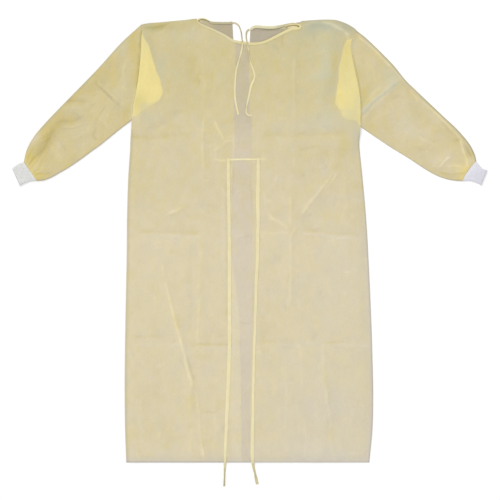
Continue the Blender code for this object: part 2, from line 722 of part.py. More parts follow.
def main():
    clear_scene()
    cloth = material("yellow_nonwoven", (0.66, 0.58, 0.36), 0.75)
    inside = material("yellow_nonwoven_single", (0.55, 0.48, 0.30), 0.8)
    tape = material("pale_yellow_tape", (0.74, 0.66, 0.37), 0.7)
    knit = material("white_rib_knit", (0.76, 0.73, 0.76), 0.9)

    make_back("back_left", -1, OPENING_LEFT, NECKLINE_BACK_LEFT, inside)
    make_back("back_right", 1, OPENING_RIGHT, NECKLINE_BACK_RIGHT, inside)
    front = make_front(cloth)
    left_seam = [SLEEVE_LEFT_UPPER[-1], SLEEVE_LEFT_LOWER[-1]]
    right_seam = [SLEEVE_RIGHT_UPPER[-1], SLEEVE_RIGHT_LOWER[-1]]
    make_sleeve("sleeve_left", -1, SLEEVE_LEFT_UPPER, SLEEVE_LEFT_LOWER, left_seam,
                LEFT_SLEEVE_FOLDS, cloth)
    make_sleeve("sleeve_right", 1, SLEEVE_RIGHT_UPPER, SLEEVE_RIGHT_LOWER, right_seam,
                RIGHT_SLEEVE_FOLDS, cloth)
    make_cuff("cuff_left", left_seam, CUFF_LEFT_END, knit)
    make_cuff("cuff_right", right_seam, CUFF_RIGHT_END, knit)

    binding = make_front_binding(tape)
    make_back_binding("binding_back_left", NECKLINE_BACK_LEFT, NECK_STEPS[2:], tape)
    make_back_binding("binding_back_right", NECKLINE_BACK_RIGHT, NECK_STEPS[:-1], tape)

    backs = [bpy.data.objects[n] for n in ("back_left", "back_right")]
    make_strip("neck_tie_left", NECK_TIE_LEFT_ROUTE, NECK_TIE_WIDTH, [front, binding, *backs], tape, 10)
    make_strip("neck_tie_right", NECK_TIE_RIGHT_ROUTE, NECK_TIE_WIDTH, [front, binding, *backs], tape, 10)
    belt = make_strip("waist_belt", BELT_ROUTE, BELT_WIDTH, [front], tape, 12)
    make_strip("waist_tie_left", WAIST_TIE_LEFT_ROUTE, BELT_WIDTH, [front, belt, *backs], tape)
    make_strip("waist_tie_right", WAIST_TIE_RIGHT_ROUTE, BELT_WIDTH, [front, belt, *backs], tape)


main()
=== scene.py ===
"""Looks of a protective gown that lies flat, front side up, neck towards +Y.

Left and right are as seen from above, and a table's or function's side is -1 for
left and 1 for right. The floor is z = 0. Lengths are millimetres until a mesh is
made, and every mesh is in metres.
"""
import math

import bmesh
import bpy
import numpy as np
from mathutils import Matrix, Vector
from mathutils.bvhtree import BVHTree


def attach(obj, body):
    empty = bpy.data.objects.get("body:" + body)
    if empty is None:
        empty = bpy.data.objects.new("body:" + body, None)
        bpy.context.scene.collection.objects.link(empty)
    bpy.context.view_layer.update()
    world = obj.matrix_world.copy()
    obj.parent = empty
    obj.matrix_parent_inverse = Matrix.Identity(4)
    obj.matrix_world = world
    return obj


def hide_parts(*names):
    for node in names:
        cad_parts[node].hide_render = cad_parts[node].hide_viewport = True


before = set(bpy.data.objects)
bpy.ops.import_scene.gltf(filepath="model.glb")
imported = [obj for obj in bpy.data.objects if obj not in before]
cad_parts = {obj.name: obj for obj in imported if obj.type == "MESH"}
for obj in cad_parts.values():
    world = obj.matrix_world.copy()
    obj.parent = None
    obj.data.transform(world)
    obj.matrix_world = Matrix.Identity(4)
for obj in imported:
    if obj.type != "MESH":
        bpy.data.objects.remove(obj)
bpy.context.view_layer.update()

MM = 0.001

# ------------------------------------------------ sizes shared with the solids
WALL = 1.0
GAP = 0.3
CLOTH = 0.4              # wall of the finer shells
FRONT_UNDER = 1.3
TUCK_UNDER = 1.3
TUCK_LIFT = 2.6
NECK_LIFT = 1.3
LOOSE_LIFT = 1.2
BACK_INSET = 2.8
HEM_INSET = 1.5
NECK_TIE_WIDTH = 4.8     # folded narrower than the solid's
BELT_WIDTH = 9.5
HEM_Y = -576

BODY_SIDES = [           # y, left x, right x
    (-576, -322, 310), (-492, -325, 318), (-414, -326, 320), (-336, -326, 319), (-206, -324, 315),
    (-50, -321, 308), (54, -320, 302), (158, -317, 293), (236, -312, 285), (262, -311.2, 284.3),
]
ARMHOLES = {             # y, seam x, depth of the tucked sleeve end
    -1: [
        (314, -307, 4), (330, -305, 30), (347, -304, 46), (362, -302, 66), (387, -296, 70), (418, -291, 60),
        (439, -288, 47), (470, -285, 38), (496, -283, 31), (522, -282, 17), (545, -281, 6), (561, -283, 4),
    ],
    1: [
        (296, 287, 3), (309, 287, 20), (322, 287, 44), (340, 287, 54), (354, 287, 66), (370, 286, 64),
        (392, 283, 59), (418, 278, 52), (470, 267, 34), (496, 262, 26), (515, 262, 21), (529, 268, 14),
        (545, 278, 6),
    ],
}
SHOULDER = {
    -1: [
        (-283, 561), (-268, 564), (-234, 568), (-182, 573), (-138, 577),
    ],
    1: [
        (127, 554), (130.5, 568.5), (143, 572), (169, 574), (190, 575), (208, 575), (228, 573), (250, 564),
        (269, 553), (278, 545),
    ],
}
NECKLINE_FRONT = [
    (-138, 577), (-131, 566), (-117, 559), (-94, 549), (-65, 535), (-44, 522), (-21, 517), (0, 514),
    (21, 514.5), (42, 519.8), (73, 535.3), (99, 548.5), (112, 552.5), (127, 554),
]
CURLS = {                # the binding's loops at both ends of the neckline
    -1: [
        (-108, 571), (-117, 575), (-126, 576), (-133, 574), (-135.5, 570),
    ],
    1: [
        (127.5, 552.5), (129.5, 556.5), (126, 559.5), (118, 561), (108, 560.5), (98, 558.5), (91, 555),
    ],
}
NECKLINE_BACK = {
    -1: [
        (-134, 572), (-127, 576), (-117, 576), (-108, 573), (-99, 569), (-78, 568), (-57, 568), (-46, 569),
    ],
    1: [
        (1, 552), (8, 557), (17, 559), (31, 558), (49, 557), (68, 558), (81, 560), (94, 563), (107, 565),
        (126, 568),
    ],
}
OPENING = {
    -1: [
        (-21, -574), (-23, -414), (-26, -284), (-31, -180), (-49, -24), (-47, 106), (-42, 236), (-42, 366),
        (-43, 500), (-46, 569),
    ],
    1: [
        (0, -574), (0, -414), (5, -271), (8, -154), (5, -50), (5, 106), (5, 301), (0, 340), (-2, 470),
        (1, 552),
    ],
}
SLEEVE_UPPER = {
    -1: [
        (-283, 561), (-296, 550), (-338, 511), (-390, 453), (-442, 399), (-494, 346), (-533, 305),
        (-562, 270), (-580, 237), (-588, 205),
    ],
    1: [
        (278, 545), (299, 529), (333, 497), (372, 457), (398, 424.6), (412, 409), (429, 393), (468, 356),
        (507, 319), (538, 290), (567, 256), (582, 229), (588, 207),
    ],
}
SLEEVE_LOWER = {
    -1: [
        (-307, 314), (-338, 290), (-369, 265), (-390, 248), (-411, 233), (-442, 210), (-473, 189),
        (-494, 177), (-515, 165), (-536, 157), (-553, 155.4),
    ],
    1: [
        (287, 296), (325, 270), (364, 244), (390, 228), (416, 212), (455, 186), (486, 169), (512, 160),
        (536, 156), (551, 155.3),
    ],
}
CUFF_END = {-1: [(-618, 188), (-598, 142)], 1: [(616, 184), (600, 144)]}
WRIST_BOW = {-1: 0.0, 1: 2.6}      # how far the cuff's seam bends towards the sleeve

NECK_TIE_LEFT_ROUTE = [
    (-45.2, 566.2), (-38, 565.6), (-30, 560), (-26, 552), (-23, 541), (-21, 528), (-19.5, 516), (-20, 505),
    (-23, 490), (-27, 474), (-32, 457), (-36, 440), (-38, 420), (-39, 400), (-39, 385), (-38, 368),
    (-36, 356), (-34, 345), (-30, 328),
]
NECK_TIE_RIGHT_ROUTE = [
    (-1.4, 549), (-5, 547.6), (-9, 543), (-10, 535), (-9.5, 526), (-7, 514), (-4, 500), (-2, 486), (0, 470),
    (4, 456), (9, 444), (12, 430), (10, 418), (4, 405), (0, 390), (-3, 374), (-7, 355), (-10, 340),
    (-9, 331), (-3, 326), (5, 326),
]
BELT_ROUTE = [
    (-58, 210), (-40, 211), (-20, 211), (0, 211), (12, 211), (26, 210),
]
WAIST_TIE_LEFT_ROUTE = [
    (-56, 215), (-56, 190), (-55, 120), (-54, 40), (-53, -30), (-53, -130), (-53, -230), (-54, -300),
    (-56, -362), (-59, -430), (-62, -500), (-64, -545), (-65, -580), (-66, -610), (-67, -638),
]
WAIST_TIE_RIGHT_ROUTE = [
    (22, 215), (22, 190), (21, 120), (21, 40), (20, -30), (17, -100), (14, -200), (11, -290), (9, -362),
    (8, -430), (7, -500), (6, -545), (8, -580), (13, -605), (19, -633),
]

BELT_TONES = [(0, 0.0, 0.1, 0), (0.3, 0.05, 0.0, 0), (1, 0.02, 0.15, 0)]     # share along, light, gold, blue
# The darker tones where a tie twists, and where the neck ties cross the neck opening, are painted shade.
TIES = {                 # route, width, twists, tones, widths
    "neck_tie_left": (
        NECK_TIE_LEFT_ROUTE, NECK_TIE_WIDTH,
        [(0, 0), (0.04, 10), (0.08, 50), (0.22, 54), (0.27, 6), (0.36, 0), (0.42, 24), (0.5, 4), (1, 0)],
        [(0, -0.26, 0.1, 0.1), (0.14, -0.28, 0.2, 0.1), (0.16, -0.40, 0.2, 0), (0.18, -0.28, 0.2, 0.1),
         (0.22, -0.22, 0.2, 0.1), (0.25, 0.03, 0.3, 0), (0.35, 0.02, 0.1, 0.1), (0.5, 0.03, 0.15, 0),
         (1, 0.04, 0.2, 0)],
        [(0, 1), (0.3, 0.94), (0.5, 0.8), (0.7, 0.94), (1, 1.03)]),
    "neck_tie_right": (
        NECK_TIE_RIGHT_ROUTE, NECK_TIE_WIDTH,
        [(0, 0), (0.04, 14), (0.08, 50), (0.16, 46), (0.21, 4), (0.26, 34), (0.36, 30), (0.42, 6), (0.5, 0),
         (0.56, 10), (0.62, 0), (0.8, 2), (0.86, 28), (0.9, 12), (1, 0)],
        [(0, -0.24, 0.1, 0.15), (0.1, -0.24, 0.1, 0.15), (0.19, -0.08, 0.2, 0), (0.22, -0.05, 0.3, 0),
         (0.29, -0.10, 0.2, 0.0), (0.34, 0.0, 0.1, 0.1), (0.43, 0.02, 0.1, 0), (0.55, 0.04, 0.1, 0),
         (0.58, 0.11, 0.0, 0), (0.62, 0.11, 0.0, 0), (0.66, 0.04, 0.15, 0), (0.9, 0.02, 0.1, 0),
         (1, 0.0, 0.1, 0)],
        [(0, 1.1), (0.06, 1.0), (0.2, 0.9), (0.45, 0.85), (0.6, 1.03), (0.85, 0.94), (1, 0.85)]),
    "waist_tie_left": (
        WAIST_TIE_LEFT_ROUTE, BELT_WIDTH,
        [(0, 0), (0.2, 1), (0.45, -1), (0.7, 1.5), (0.9, 0), (0.935, 16), (0.96, 58), (1, 52)],
        [(0, 0.0, 0.2, 0), (0.1, 0.0, 0.15, 0), (0.5, 0.02, 0.1, 0), (0.92, 0.03, 0.1, 0),
         (0.945, -0.10, 0.1, 0), (1, -0.2, 0.0, 0.2)],
        [(0, 0.9), (0.3, 0.92), (0.45, 0.98), (0.6, 0.95), (0.7, 1.0), (0.8, 0.86), (0.92, 0.75), (1, 0.8)]),
    "waist_tie_right": (
        WAIST_TIE_RIGHT_ROUTE, BELT_WIDTH,
        [(0, 0), (0.25, -1.5), (0.5, 1), (0.75, -1.5), (0.91, 0), (0.94, 20), (0.965, 58), (0.985, 18),
         (1, 8)],
        [(0, 0.0, 0.15, 0), (0.3, 0.0, 0.1, 0), (0.6, 0.02, 0.1, 0), (0.92, 0.02, 0.1, 0),
         (0.95, -0.10, 0.1, 0), (1, -0.16, 0.1, 0.1)],
        [(0, 0.85), (0.1, 1.0), (0.3, 0.9), (0.45, 0.74), (0.6, 0.66), (0.7, 0.72), (0.8, 0.82), (0.9, 0.95),
         (1, 0.8)]),
}

# ------------------------------------------------------------ broad folds (as in the solids)
FOLD_END = 25.0
BODY_FOLDS = [           # from x, y, to x, y, height, width
    (-300, 271, -160, 274, -1.2, 18), (90, 273, 250, 269, -1.2, 18), (-290, 15, -130, 17, -1.2, 18),
    (125, 16, 285, 13, -1.2, 18), (-300, -271, -40, -269, -1.2, 20), (-10, -270, 300, -272, -1.2, 20),
    (-125, 285, -128, 200, 1.8, 15), (-125, 0, -122, -270, 2.2, 16), (104, 465, 106, 315, 2, 17),
    (104, 120, 101, -150, 2.2, 16), (247, 130, 250, 0, 1.8, 18), (205, -270, 188, -540, 2.3, 18),
    (-156, -380, -130, -550, 2.2, 18), (-234, -63, -148, -388, 2.5, 17), (221, 189, 135, 72, 2.4, 18),
    (44, 72, 112, 20, 1.8, 17), (-96, 313, -65, 254, 2, 16), (-221, 67, -169, 93, 1.6, 16),
]
SLEEVE_FOLDS = {
    -1: [
        (-408, 413, -333, 340, 3, 13), (-481, 345, -429, 319, 2.2, 13), (-533, 275, -494, 301, 2, 13),
        (-507, 262, -473, 223, 2.6, 12), (-350, 480, -325, 400, 1.6, 16), (-400, 300, -360, 345, 1.6, 15),
    ],
    1: [
        (286, 327, 377, 405, 3, 15), (486, 191, 525, 230, 2.6, 12), (546, 262, 564, 197, 2, 12),
        (398, 421, 420, 330, 2.2, 14), (440, 250, 500, 300, 1.6, 15), (330, 470, 300, 400, 1.4, 16),
    ],
}

# ------------------------------------------------------------------------- creases
# A crease: its height in mm (a trough if negative), its width in mm to one side, how the
# cloth's shade shifts along it (light in thousandths, gold and blue in hundredths), and
# its line in plan as x, y, x, y and so on. Most light shifts are painted: a painted
# highlight along a ridge, painted shade along a trough.
FRONT_CREASES = [
    # package creases across the body
    (-0.7, 4, -15, 30, 0, -309, 270, -260, 267, -208, 272, -166, 278),
    (0.3, 9, 12, 0, 30, -291, 288, -221, 285, -140, 291), (-0.7, 4, -4, 14, 0, 88, 270, 169, 275, 250, 283),
    (0.3, 9, 4, 0, 30, 104, 293, 177, 296, 218, 304), (-0.6, 5, -18, 30, 0, -286, 25, -208, 23, -130, 19),
    (0.6, 3.4, 34, -12, 55, -273, 12, -203, 11, -127, 11), (0.4, 2.6, 30, 5, 0, 13, 20, 57, 21, 104, 20),
    (-0.5, 4, -14, 16, 0, 130, 27, 153, 27, 182, 25),
    (0.6, 3, 44, -10, 55, 130, 19, 187, 15, 218, 8, 289, 7),
    (-0.5, 4, -14, 25, 0, 161, 25, 221, 20, 281, 18),
    (0.4, 3, 18, -10, 50, -309, -271, -247, -271, -177, -270),
    (-0.6, 4, -10, 32, 0, -304, -249, -260, -248, -216, -248),
    (-0.7, 3.4, -28, 40, 0, -153, -270, -114, -268, -75, -269, -42, -272),
    (0.4, 4, 10, -10, 45, -122, -279, -83, -280, -36, -274),
    (-0.7, 3, -22, 30, 0, 21, -261, 47, -261, 70, -262),
    (0.4, 3.4, 14, -10, 50, 122, -265, 156, -266, 187, -267),
    (-0.5, 2.6, -14, 35, 0, 187, -263, 218, -263, 247, -263),
    (0.5, 4, 4, -10, 40, 68, -271, 104, -274, 140, -275),
    (0.6, 3, 40, -5, 25, 208, -271, 260, -272, 309, -274),
    # long creases down the body
    (0.9, 2, 42, 10, 0, -121, 319, -125, 275, -125, 236, -122, 181),
    (0.3, 2, 14, 0, 0, -127, 480, -122, 418, -125, 345),
    (0.8, 4, 46, 40, 0, -130, 7, -127, -40, -130, -102, -135, -149),
    (0.9, 2.2, 42, 35, 0, -135, -149, -133, -170, -135, -211, -138, -266),
    (-0.5, 7, -30, 0, 6, -153, -8, -156, -76, -153, -154, -156, -232),
    (0.7, 1.8, 24, 0, 0, 114, 475, 112, 408, 113, 356, 114, 314), (0.8, 1.8, 36, 0, 0, 104, 119, 104, 38),
    (0.7, 1.8, 34, 0, 0, 104, 2, 104, -81, 103, -162),
    (0.5, 2.6, 18, 5, 0, 247, 168, 244, 127, 250, 96, 242, 59),
    (0.3, 6, 24, 50, 0, 187, -315, 195, -372, 203, -424),
    (0.3, 6, 10, 30, 0, 205, -476, 211, -518, 216, -560),
    (0.9, 2.2, 24, 20, 0, 187, -271, 190, -315, 195, -357),
    (0.9, 2.2, 32, 28, 0, 195, -372, 200, -419, 208, -476, 208, -518, 216, -560),
    (0.3, 5, 12, 30, 0, -156, -383, -155, -466, -153, -549),
    (0.6, 2, 26, 10, 0, -156, -372, -156, -440, -153, -497, -156, -557),
    (0.9, 1.8, 34, 5, 0, -143, -383, -135, -440, -130, -508, -122, -565),
    (0.4, 2, 14, 0, 0, 130, -284, 133, -362, 130, -414), (0.4, 2.2, 12, 5, 0, 91, -315, 94, -393, 91, -492),
    (0.3, 2.2, 12, 0, 0, -224, -310, -226, -352, -218, -393),
    (0.5, 1.8, 30, 0, 0, -43, 283, -43, 252, -43, 218),
    # slanting creases
    (0.8, 2, 42, 20, 0, -230, -60, -224, -94),
    (1.6, 2, 75, 35, 0, -221, -102, -211, -149, -198, -201, -185, -248),
    (1.9, 2.2, 88, 20, 0, -185, -248, -174, -289, -164, -331, -151, -380),
    (-0.8, 1.8, -45, 5, 0, -164, -300, -156, -326, -146, -362),
    (-0.6, 1.8, -25, 5, 0, -182, -302, -172, -326, -161, -346),
    (-0.3, 3, 0, 12, 0, -192, -170, -185, -206, -185, -232), (1, 2, 64, 5, 0, -94, 311, -81, 285, -65, 258),
    (0.6, 1.9, 40, 0, 0, -94, 236, -78, 246, -62, 259, -47, 262),
    (0.3, 1.6, 12, 0, 0, -65, 259, -31, 262, 0, 265), (-0.3, 4, -10, 30, 10, 31, 276, 62, 276, 91, 276),
    (0.4, 1.6, 20, 0, 0, 36, 98, 47, 103, 60, 109),
    (0, 1.6, -18, 5, 0, -3, 163, 3, 119, 6, 67, 8, 2, 8, -89, 6, -206),
    (0.4, 1.5, 20, 0, 0, -94, 262, -88, 246, -91, 215), (1.2, 2, 40, 0, 0, 221, 187, 205, 163, 192, 145),
    (0.9, 1.6, 34, 0, 0, 226, 181, 213, 158, 198, 140),
    (1.2, 2, 48, 0, 0, 192, 148, 172, 119, 151, 96, 135, 72),
    (0.5, 1.5, 22, 0, 0, 146, 90, 153, 77, 161, 70), (1, 2, 48, 0, 0, 44, 75, 60, 57, 75, 49, 99, 31),
    (0.6, 1.5, 24, 0, 0, 47, 64, 55, 57, 65, 57), (0.9, 1.9, 44, 4, 0, 120, 38, 109, 20, 99, 5),
    (0.6, 1.8, 20, 5, 0, -221, 67, -195, 77, -166, 93), (0.7, 1.9, 36, 0, 0, -213, 71, -182, 85),
    (-0.6, 5, -22, 10, 0, 47, -3, 60, -34, 81, -55), (0.4, 1.6, 20, 0, 0, 130, 140, 138, 127),
    (0.5, 1.8, 20, 5, 0, -302, -271, -294, -302, -273, -326),
    (0.5, 1.6, 20, 0, 0, -224, 392, -216, 376, -213, 363),
    (0.4, 1.6, 18, 0, 0, 140, 93, 164, 116, 187, 135),
    (-0.5, 2.4, -16, 12, 0, 122, 236, 161, 244, 208, 246), (0.4, 2, 14, 0, 0, 135, 473, 161, 483, 208, 496),
    (0.5, 2, 18, 10, 0, -172, 283, -130, 291, -101, 285), (0.5, 1.8, 32, 0, 0, -296, -549, -289, -570),
    (0.5, 1.8, 28, 0, 0, -127, -531, -122, -570), (0.5, 1.8, 18, 5, 0, 247, -393, 263, -440, 260, -492),
    (0.4, 1.8, 16, 0, 0, -283, -401, -289, -466, -281, -534),
    (0.4, 1.8, 16, 0, 0, -96, -414, -91, -492, -96, -557),
    (0.4, 1.6, 14, 0, 0, 140, -466, 146, -523, 140, -565),
    # the belt's seam, on past both ties
    (0.6, 1.8, 85, 5, 0, -98, 211, -81, 211, -60, 210), (0.4, 1.4, 60, 5, 0, 16, 211, 29, 212, 42, 213),
    # beside the waist ties: a golden line, a pale tape edge, and a painted shadow line right of the left tie
    (0, 3.4, -30, 50, 0, -64, 148, -62, -24, -61, -201), (0.4, 1.4, 28, 0, 0, -47, 205, -49, 184, -50, 163),
    (0, 1.4, -26, 10, 0, -45, 194, -46, 158, -47, 116),
    # seams and edges that show at the shoulders
    (0.3, 3.2, 150, -25, 10, 138, 561, 156, 567, 182, 570, 208, 564, 229, 553, 250, 540, 260, 534),
    (0, 3, -60, 5, 10, 213, 570, 237, 560, 260, 545),
    (0, 1.9, -40, 0, 0, 146, 566, 164, 570, 195, 573, 213, 571, 231, 568, 255, 557, 265, 549),
    (0.2, 1.9, 34, 0, 0, 182, 570, 208, 564, 229, 553, 250, 540, 260, 534),
    (0.5, 1.6, 75, 10, 0, 244, 538, 255, 527, 252, 517),
    (0.5, 1.6, 85, 0, 0, 278, 543, 268, 532, 260, 522, 257, 512),
    (0.4, 2.2, -50, 40, 0, -278, 556, -255, 553, -234, 558, -211, 565),
    (0.3, 2.2, 45, 5, 0, -239, 538, -226, 548, -212, 561),
    # cross lines in the open middle
    (-0.3, 2, -30, 0, 0, -26, 10, -10, 12, 5, 12), (-0.3, 2, -28, 0, 0, -31, -211, -10, -214, 5, -211),
    (0.3, 1.8, 14, 0, 0, -29, 304, -18, 298, -5, 301),
]

# A soft patch of shade: centre, half sizes, turn in degrees, and light, gold and blue as above.
FRONT_SHADES = [
    (-247, 553, 40, 10, 4, -70, 35, 10), (-187, 538, 90, 30, 0, 0, -10, 22),
    (-203, 556, 70, 14, 4, -45, 5, 0), (151, 545, 28, 14, 20, -50, 0, 25),
    (161, 517, 110, 62, -10, -36, 5, 20), (198, 556, 70, 18, -14, -40, -5, 14),
    (208, 556, 30, 8, -25, -50, 0, 20), (161, 564, 26, 9, 0, -100, 0, 10),
    (250, 545, 28, 15, -35, -75, -10, 25), (174, 556, 34, 9, 0, -30, -20, 45),
    (247, 558, 18, 9, -25, -30, -20, 30), (-239, 470, 18, 46, 12, -20, 0, 30),
    (-260, 501, 10, 30, 8, -50, 0, 15), (-265, 527, 12, 12, 0, -40, 20, 0),
    (-151, 439, 18, 50, 0, -25, 10, 0), (-192, 475, 20, 60, 0, 6, 0, 12),
    (195, 465, 14, 60, 0, 16, -10, 30), (172, 426, 40, 12, 10, 14, 0, 30),
    (203, 387, 14, 46, -14, -40, 5, 10), (218, 444, 9, 60, -5, -35, 15, 0),
    (-270, 322, 26, 18, 0, -15, 0, 22), (208, 322, 30, 20, 20, -6, 0, 35), (151, 301, 60, 16, 0, 0, 0, 25),
    (239, 246, 14, 60, -6, -10, 22, 0), (273, 257, 9, 52, 0, -22, 0, 40),
    (182, 223, 60, 22, 12, -10, 14, 0), (133, 184, 20, 60, 0, -12, 2, 0),
    (-299, 158, 16, 110, 0, -10, 10, 0), (-73, 283, 30, 40, 0, 8, 10, 0), (65, -37, 20, 50, -20, -22, 5, 0),
    (-94, -76, 26, 120, 0, 12, 0, 0), (-208, -141, 60, 80, 0, 12, 3, 0), (-247, -11, 70, 24, 0, 12, 0, 14),
    (52, 106, 40, 60, 0, 6, -5, 5), (31, -232, 14, 60, 0, -18, 10, 0), (234, -102, 60, 130, 0, 10, -6, 16),
    (73, -102, 34, 100, 0, 12, 3, 0), (182, -440, 90, 110, 0, -6, -10, 26),
    (-260, -414, 50, 120, 0, -10, 6, 0), (156, -544, 150, 34, 0, 28, -10, 22),
    (-221, -549, 110, 24, 0, 12, -5, 12), (-13, 158, 26, 60, 0, -14, 0, 0),
    (-8, -466, 22, 110, 0, -22, 0, 5), (289, -154, 9, 170, 0, -5, 10, 0), (-144, -401, 5, 26, 0, 0, 30, 0),
    (72, 267, 8, 6, 0, 30, -10, 10), (-10, 418, 20, 70, 0, -12, 0, 0),
]
TUCKS = {                # inner borders of the sleeve ends that show through
    -1: [
        (-283, 553), (-280, 538), (-272, 522), (-261, 504), (-257, 488), (-251, 467), (-246, 452),
        (-244, 441), (-234, 423), (-231, 405), (-226, 389), (-228, 379), (-235, 366), (-247, 357),
        (-263, 349), (-278, 340), (-294, 324),
    ],
    1: [
        (252, 522), (246, 514), (242, 501), (237, 475), (231, 449), (230, 418), (225, 392), (222, 371),
        (221, 356), (226, 348), (237, 335), (239, 324), (250, 315), (265, 314), (276, 311), (286, 298),
    ],
}
TUCK_SHADES = [
    (-260, 387, 30, 26, 30, 22, -10, -10), (-283, 475, 12, 50, 0, -4, 0, 8),
    (-244, 371, 12, 12, 0, 10, 10, 0), (-289, 345, 16, 26, 0, -25, 0, 0),
    (-291, 363, 24, 24, 0, -85, 14, -5), (-270, 522, 14, 30, 0, -20, 0, 10),
    (255, 376, 24, 30, 0, 16, -10, 0), (270, 408, 6, 60, 8, 20, -10, 6), (244, 465, 9, 44, 0, -15, 15, 0),
    (265, 319, 20, 12, 0, -30, 0, 10), (252, 501, 16, 30, 0, -55, 0, 0), (-273, 350, 14, 12, 0, 0, 0, 35),
    (252, 405, 22, 110, 0, 0, 0, 12), (255, 332, 20, 14, 0, 0, 0, 30), (276, 350, 7, 32, 0, 0, 0, 28),
    (-247, 392, 14, 16, 0, 18, 6, -15),
]
# How golden and dark the front is from hem to shoulder: y, share.
TOP_GRADIENT = [
    (-576, 0.2), (-440, 0.05), (0, 0), (60, 0.22), (140, 0.34), (240, 0.42), (310, 0.6), (370, 0.82),
    (430, 1), (580, 1.08),
]
TOP_GRADIENT_LIGHT = -0.040
TOP_GRADIENT_GOLD = 0.42

SLEEVE_CREASES = {
    -1: [
        (-1.2, 1.7, -60, 0, 20, -403, 410, -387, 397, -372, 382, -354, 363, -333, 345),
        (0.8, 2.4, 20, 0, 10, -393, 408, -374, 392, -348, 371, -325, 348),
        (-1, 5, -90, 10, 10, -478, 363, -447, 363, -416, 358, -406, 353),
        (-0.9, 5, -90, 10, 10, -504, 304, -484, 311, -458, 309, -437, 319),
        (-0.7, 4, -55, 5, 10, -463, 332, -447, 327, -437, 314),
        (0.9, 3, 26, -5, 10, -468, 345, -432, 345, -400, 363),
        (0.9, 3, 22, 0, 0, -494, 293, -463, 293, -432, 304),
        (-1.1, 7, -75, 22, 0, -549, 215, -536, 236, -520, 265, -510, 293),
        (0, 3, 60, -10, 0, -577, 218, -571, 244, -556, 270),
        (0.9, 1.8, 30, 15, 0, -546, 254, -530, 265, -512, 272),
        (-1, 3.2, -70, 0, 0, -507, 270, -491, 257, -481, 239, -473, 228),
        (0.9, 4, 45, -10, 0, -520, 246, -504, 231, -484, 210),
        (0.8, 2.2, 30, 10, 0, -564, 189, -546, 205, -525, 236),
        (-0.8, 3, -60, 30, 0, -575, 192, -562, 210, -546, 226),
        (0.8, 1.8, 30, 30, 0, -569, 181, -551, 187, -533, 187),
        (-0.8, 2, -22, 25, 0, -562, 174, -541, 171, -515, 176),
        (0.3, 4, 85, 40, 0, -584, 207, -568, 183, -552, 158),
        (-0.6, 2.4, -30, 20, 0, -400, 293, -406, 272, -395, 257),
        (0.6, 2.4, 18, 0, 0, -400, 335, -380, 319, -369, 293),
        (-0.5, 3, -20, 10, 0, -343, 465, -335, 434, -343, 408),
        (0.6, 2.6, 20, 0, 10, -317, 475, -328, 439, -320, 397),
        (-0.6, 2.4, -24, 15, 0, -374, 350, -395, 319, -403, 296),
        (0.5, 2, 18, 0, 0, -458, 262, -432, 278, -411, 283),
        # painted shadow beside the armhole under the front's edge, and the thin line within the upper edge
        (0, 1.9, -70, 100, 0, -283, 548, -285, 509, -288, 470, -291, 431, -295, 397),
        (0.2, 2.4, 20, -30, 40, -300, 379, -304, 350, -308, 319),
        (0.2, 1.3, 22, 25, 0, -294, 547, -343, 492, -395, 434, -447, 379, -499, 324, -541, 280),
    ],
    1: [
        (1.2, 5, -30, -40, 130, 286, 327, 312, 356, 348, 384, 385, 413),
        (0.3, 3.2, -10, 50, -20, 299, 353, 325, 376, 351, 397),
        (0.4, 8, -30, -10, 45, 354, 408, 374, 418, 395, 421),
        (-0.8, 1.5, 30, -10, 30, 289, 319, 302, 330, 317, 348, 338, 369, 359, 382),
        (0.5, 1.3, 22, 0, 20, 296, 353, 317, 379, 338, 397),
        (-0.9, 3, -18, 10, 0, 395, 409, 408, 402, 426, 389),
        (-0.8, 3, -50, 10, 0, 512, 288, 528, 278, 543, 265),
        (-0.7, 2.4, -50, 10, 0, 533, 261, 541, 262, 549, 263),
        (-0.6, 2.2, -45, 15, 0, 497, 311, 512, 296, 520, 285),
        (1, 1.6, 75, -10, 0, 489, 189, 504, 207, 523, 220),
        (-0.7, 1.6, -45, 10, 0, 486, 194, 494, 202, 510, 215),
        (1, 1.9, 90, 15, 0, 547, 262, 551, 246, 559, 223, 567, 192),
        (0.5, 1.6, 28, 0, 0, 525, 200, 541, 192, 554, 184),
        (0.5, 1.6, 28, 0, 0, 533, 179, 546, 175, 556, 171),
        (-0.8, 2, -45, 20, 0, 556, 252, 567, 233, 575, 215, 577, 202),
        (-0.6, 2.4, -20, 5, 0, 369, 366, 385, 376, 406, 369),
        (0.6, 2.6, 18, 0, 10, 374, 311, 395, 298, 416, 272),
        (-0.5, 2.4, -18, 0, 10, 359, 314, 385, 311, 369, 296),
        (0.5, 2.4, 16, 0, 0, 317, 309, 338, 324, 369, 335),
        (0.6, 2.2, 18, 0, 0, 437, 272, 458, 257, 486, 246),
        (-0.5, 2.6, -18, 5, 0, 416, 246, 442, 236, 473, 236),
        (0.5, 2.2, 18, 0, 0, 302, 465, 322, 439, 330, 408),
        (0.9, 2.2, 40, 20, 0, 536, 181, 551, 179, 564, 179),
        (0.8, 2.2, 35, 10, 0, 510, 194, 536, 193, 564, 189),
        (-0.7, 2, -20, 50, 0, 494, 176, 525, 171, 559, 174),
        # painted shadow by the armhole under the front's edge, and the overlocked seam inside the upper edge
        (0, 1.6, -45, 20, 0, 265, 486, 273, 454, 281, 418, 287, 379, 289, 335, 288, 304),
        (0.4, 1.9, 58, -5, 0, 281, 528, 302, 514, 325, 495, 348, 470, 369, 449),
        (0.4, 1.6, 36, -10, 45, 369, 447, 382, 432, 395, 418),
        (0.4, 1.9, 58, 5, 0, 413, 392, 434, 370, 458, 353, 494, 320, 525, 289, 546, 265, 559, 246),
        (0, 2, -22, 10, 0, 424, 387, 463, 356, 502, 322, 536, 288, 562, 257),
        (0, 2, -20, 10, 0, 286, 530, 312, 510, 338, 486, 364, 461),
    ],
}
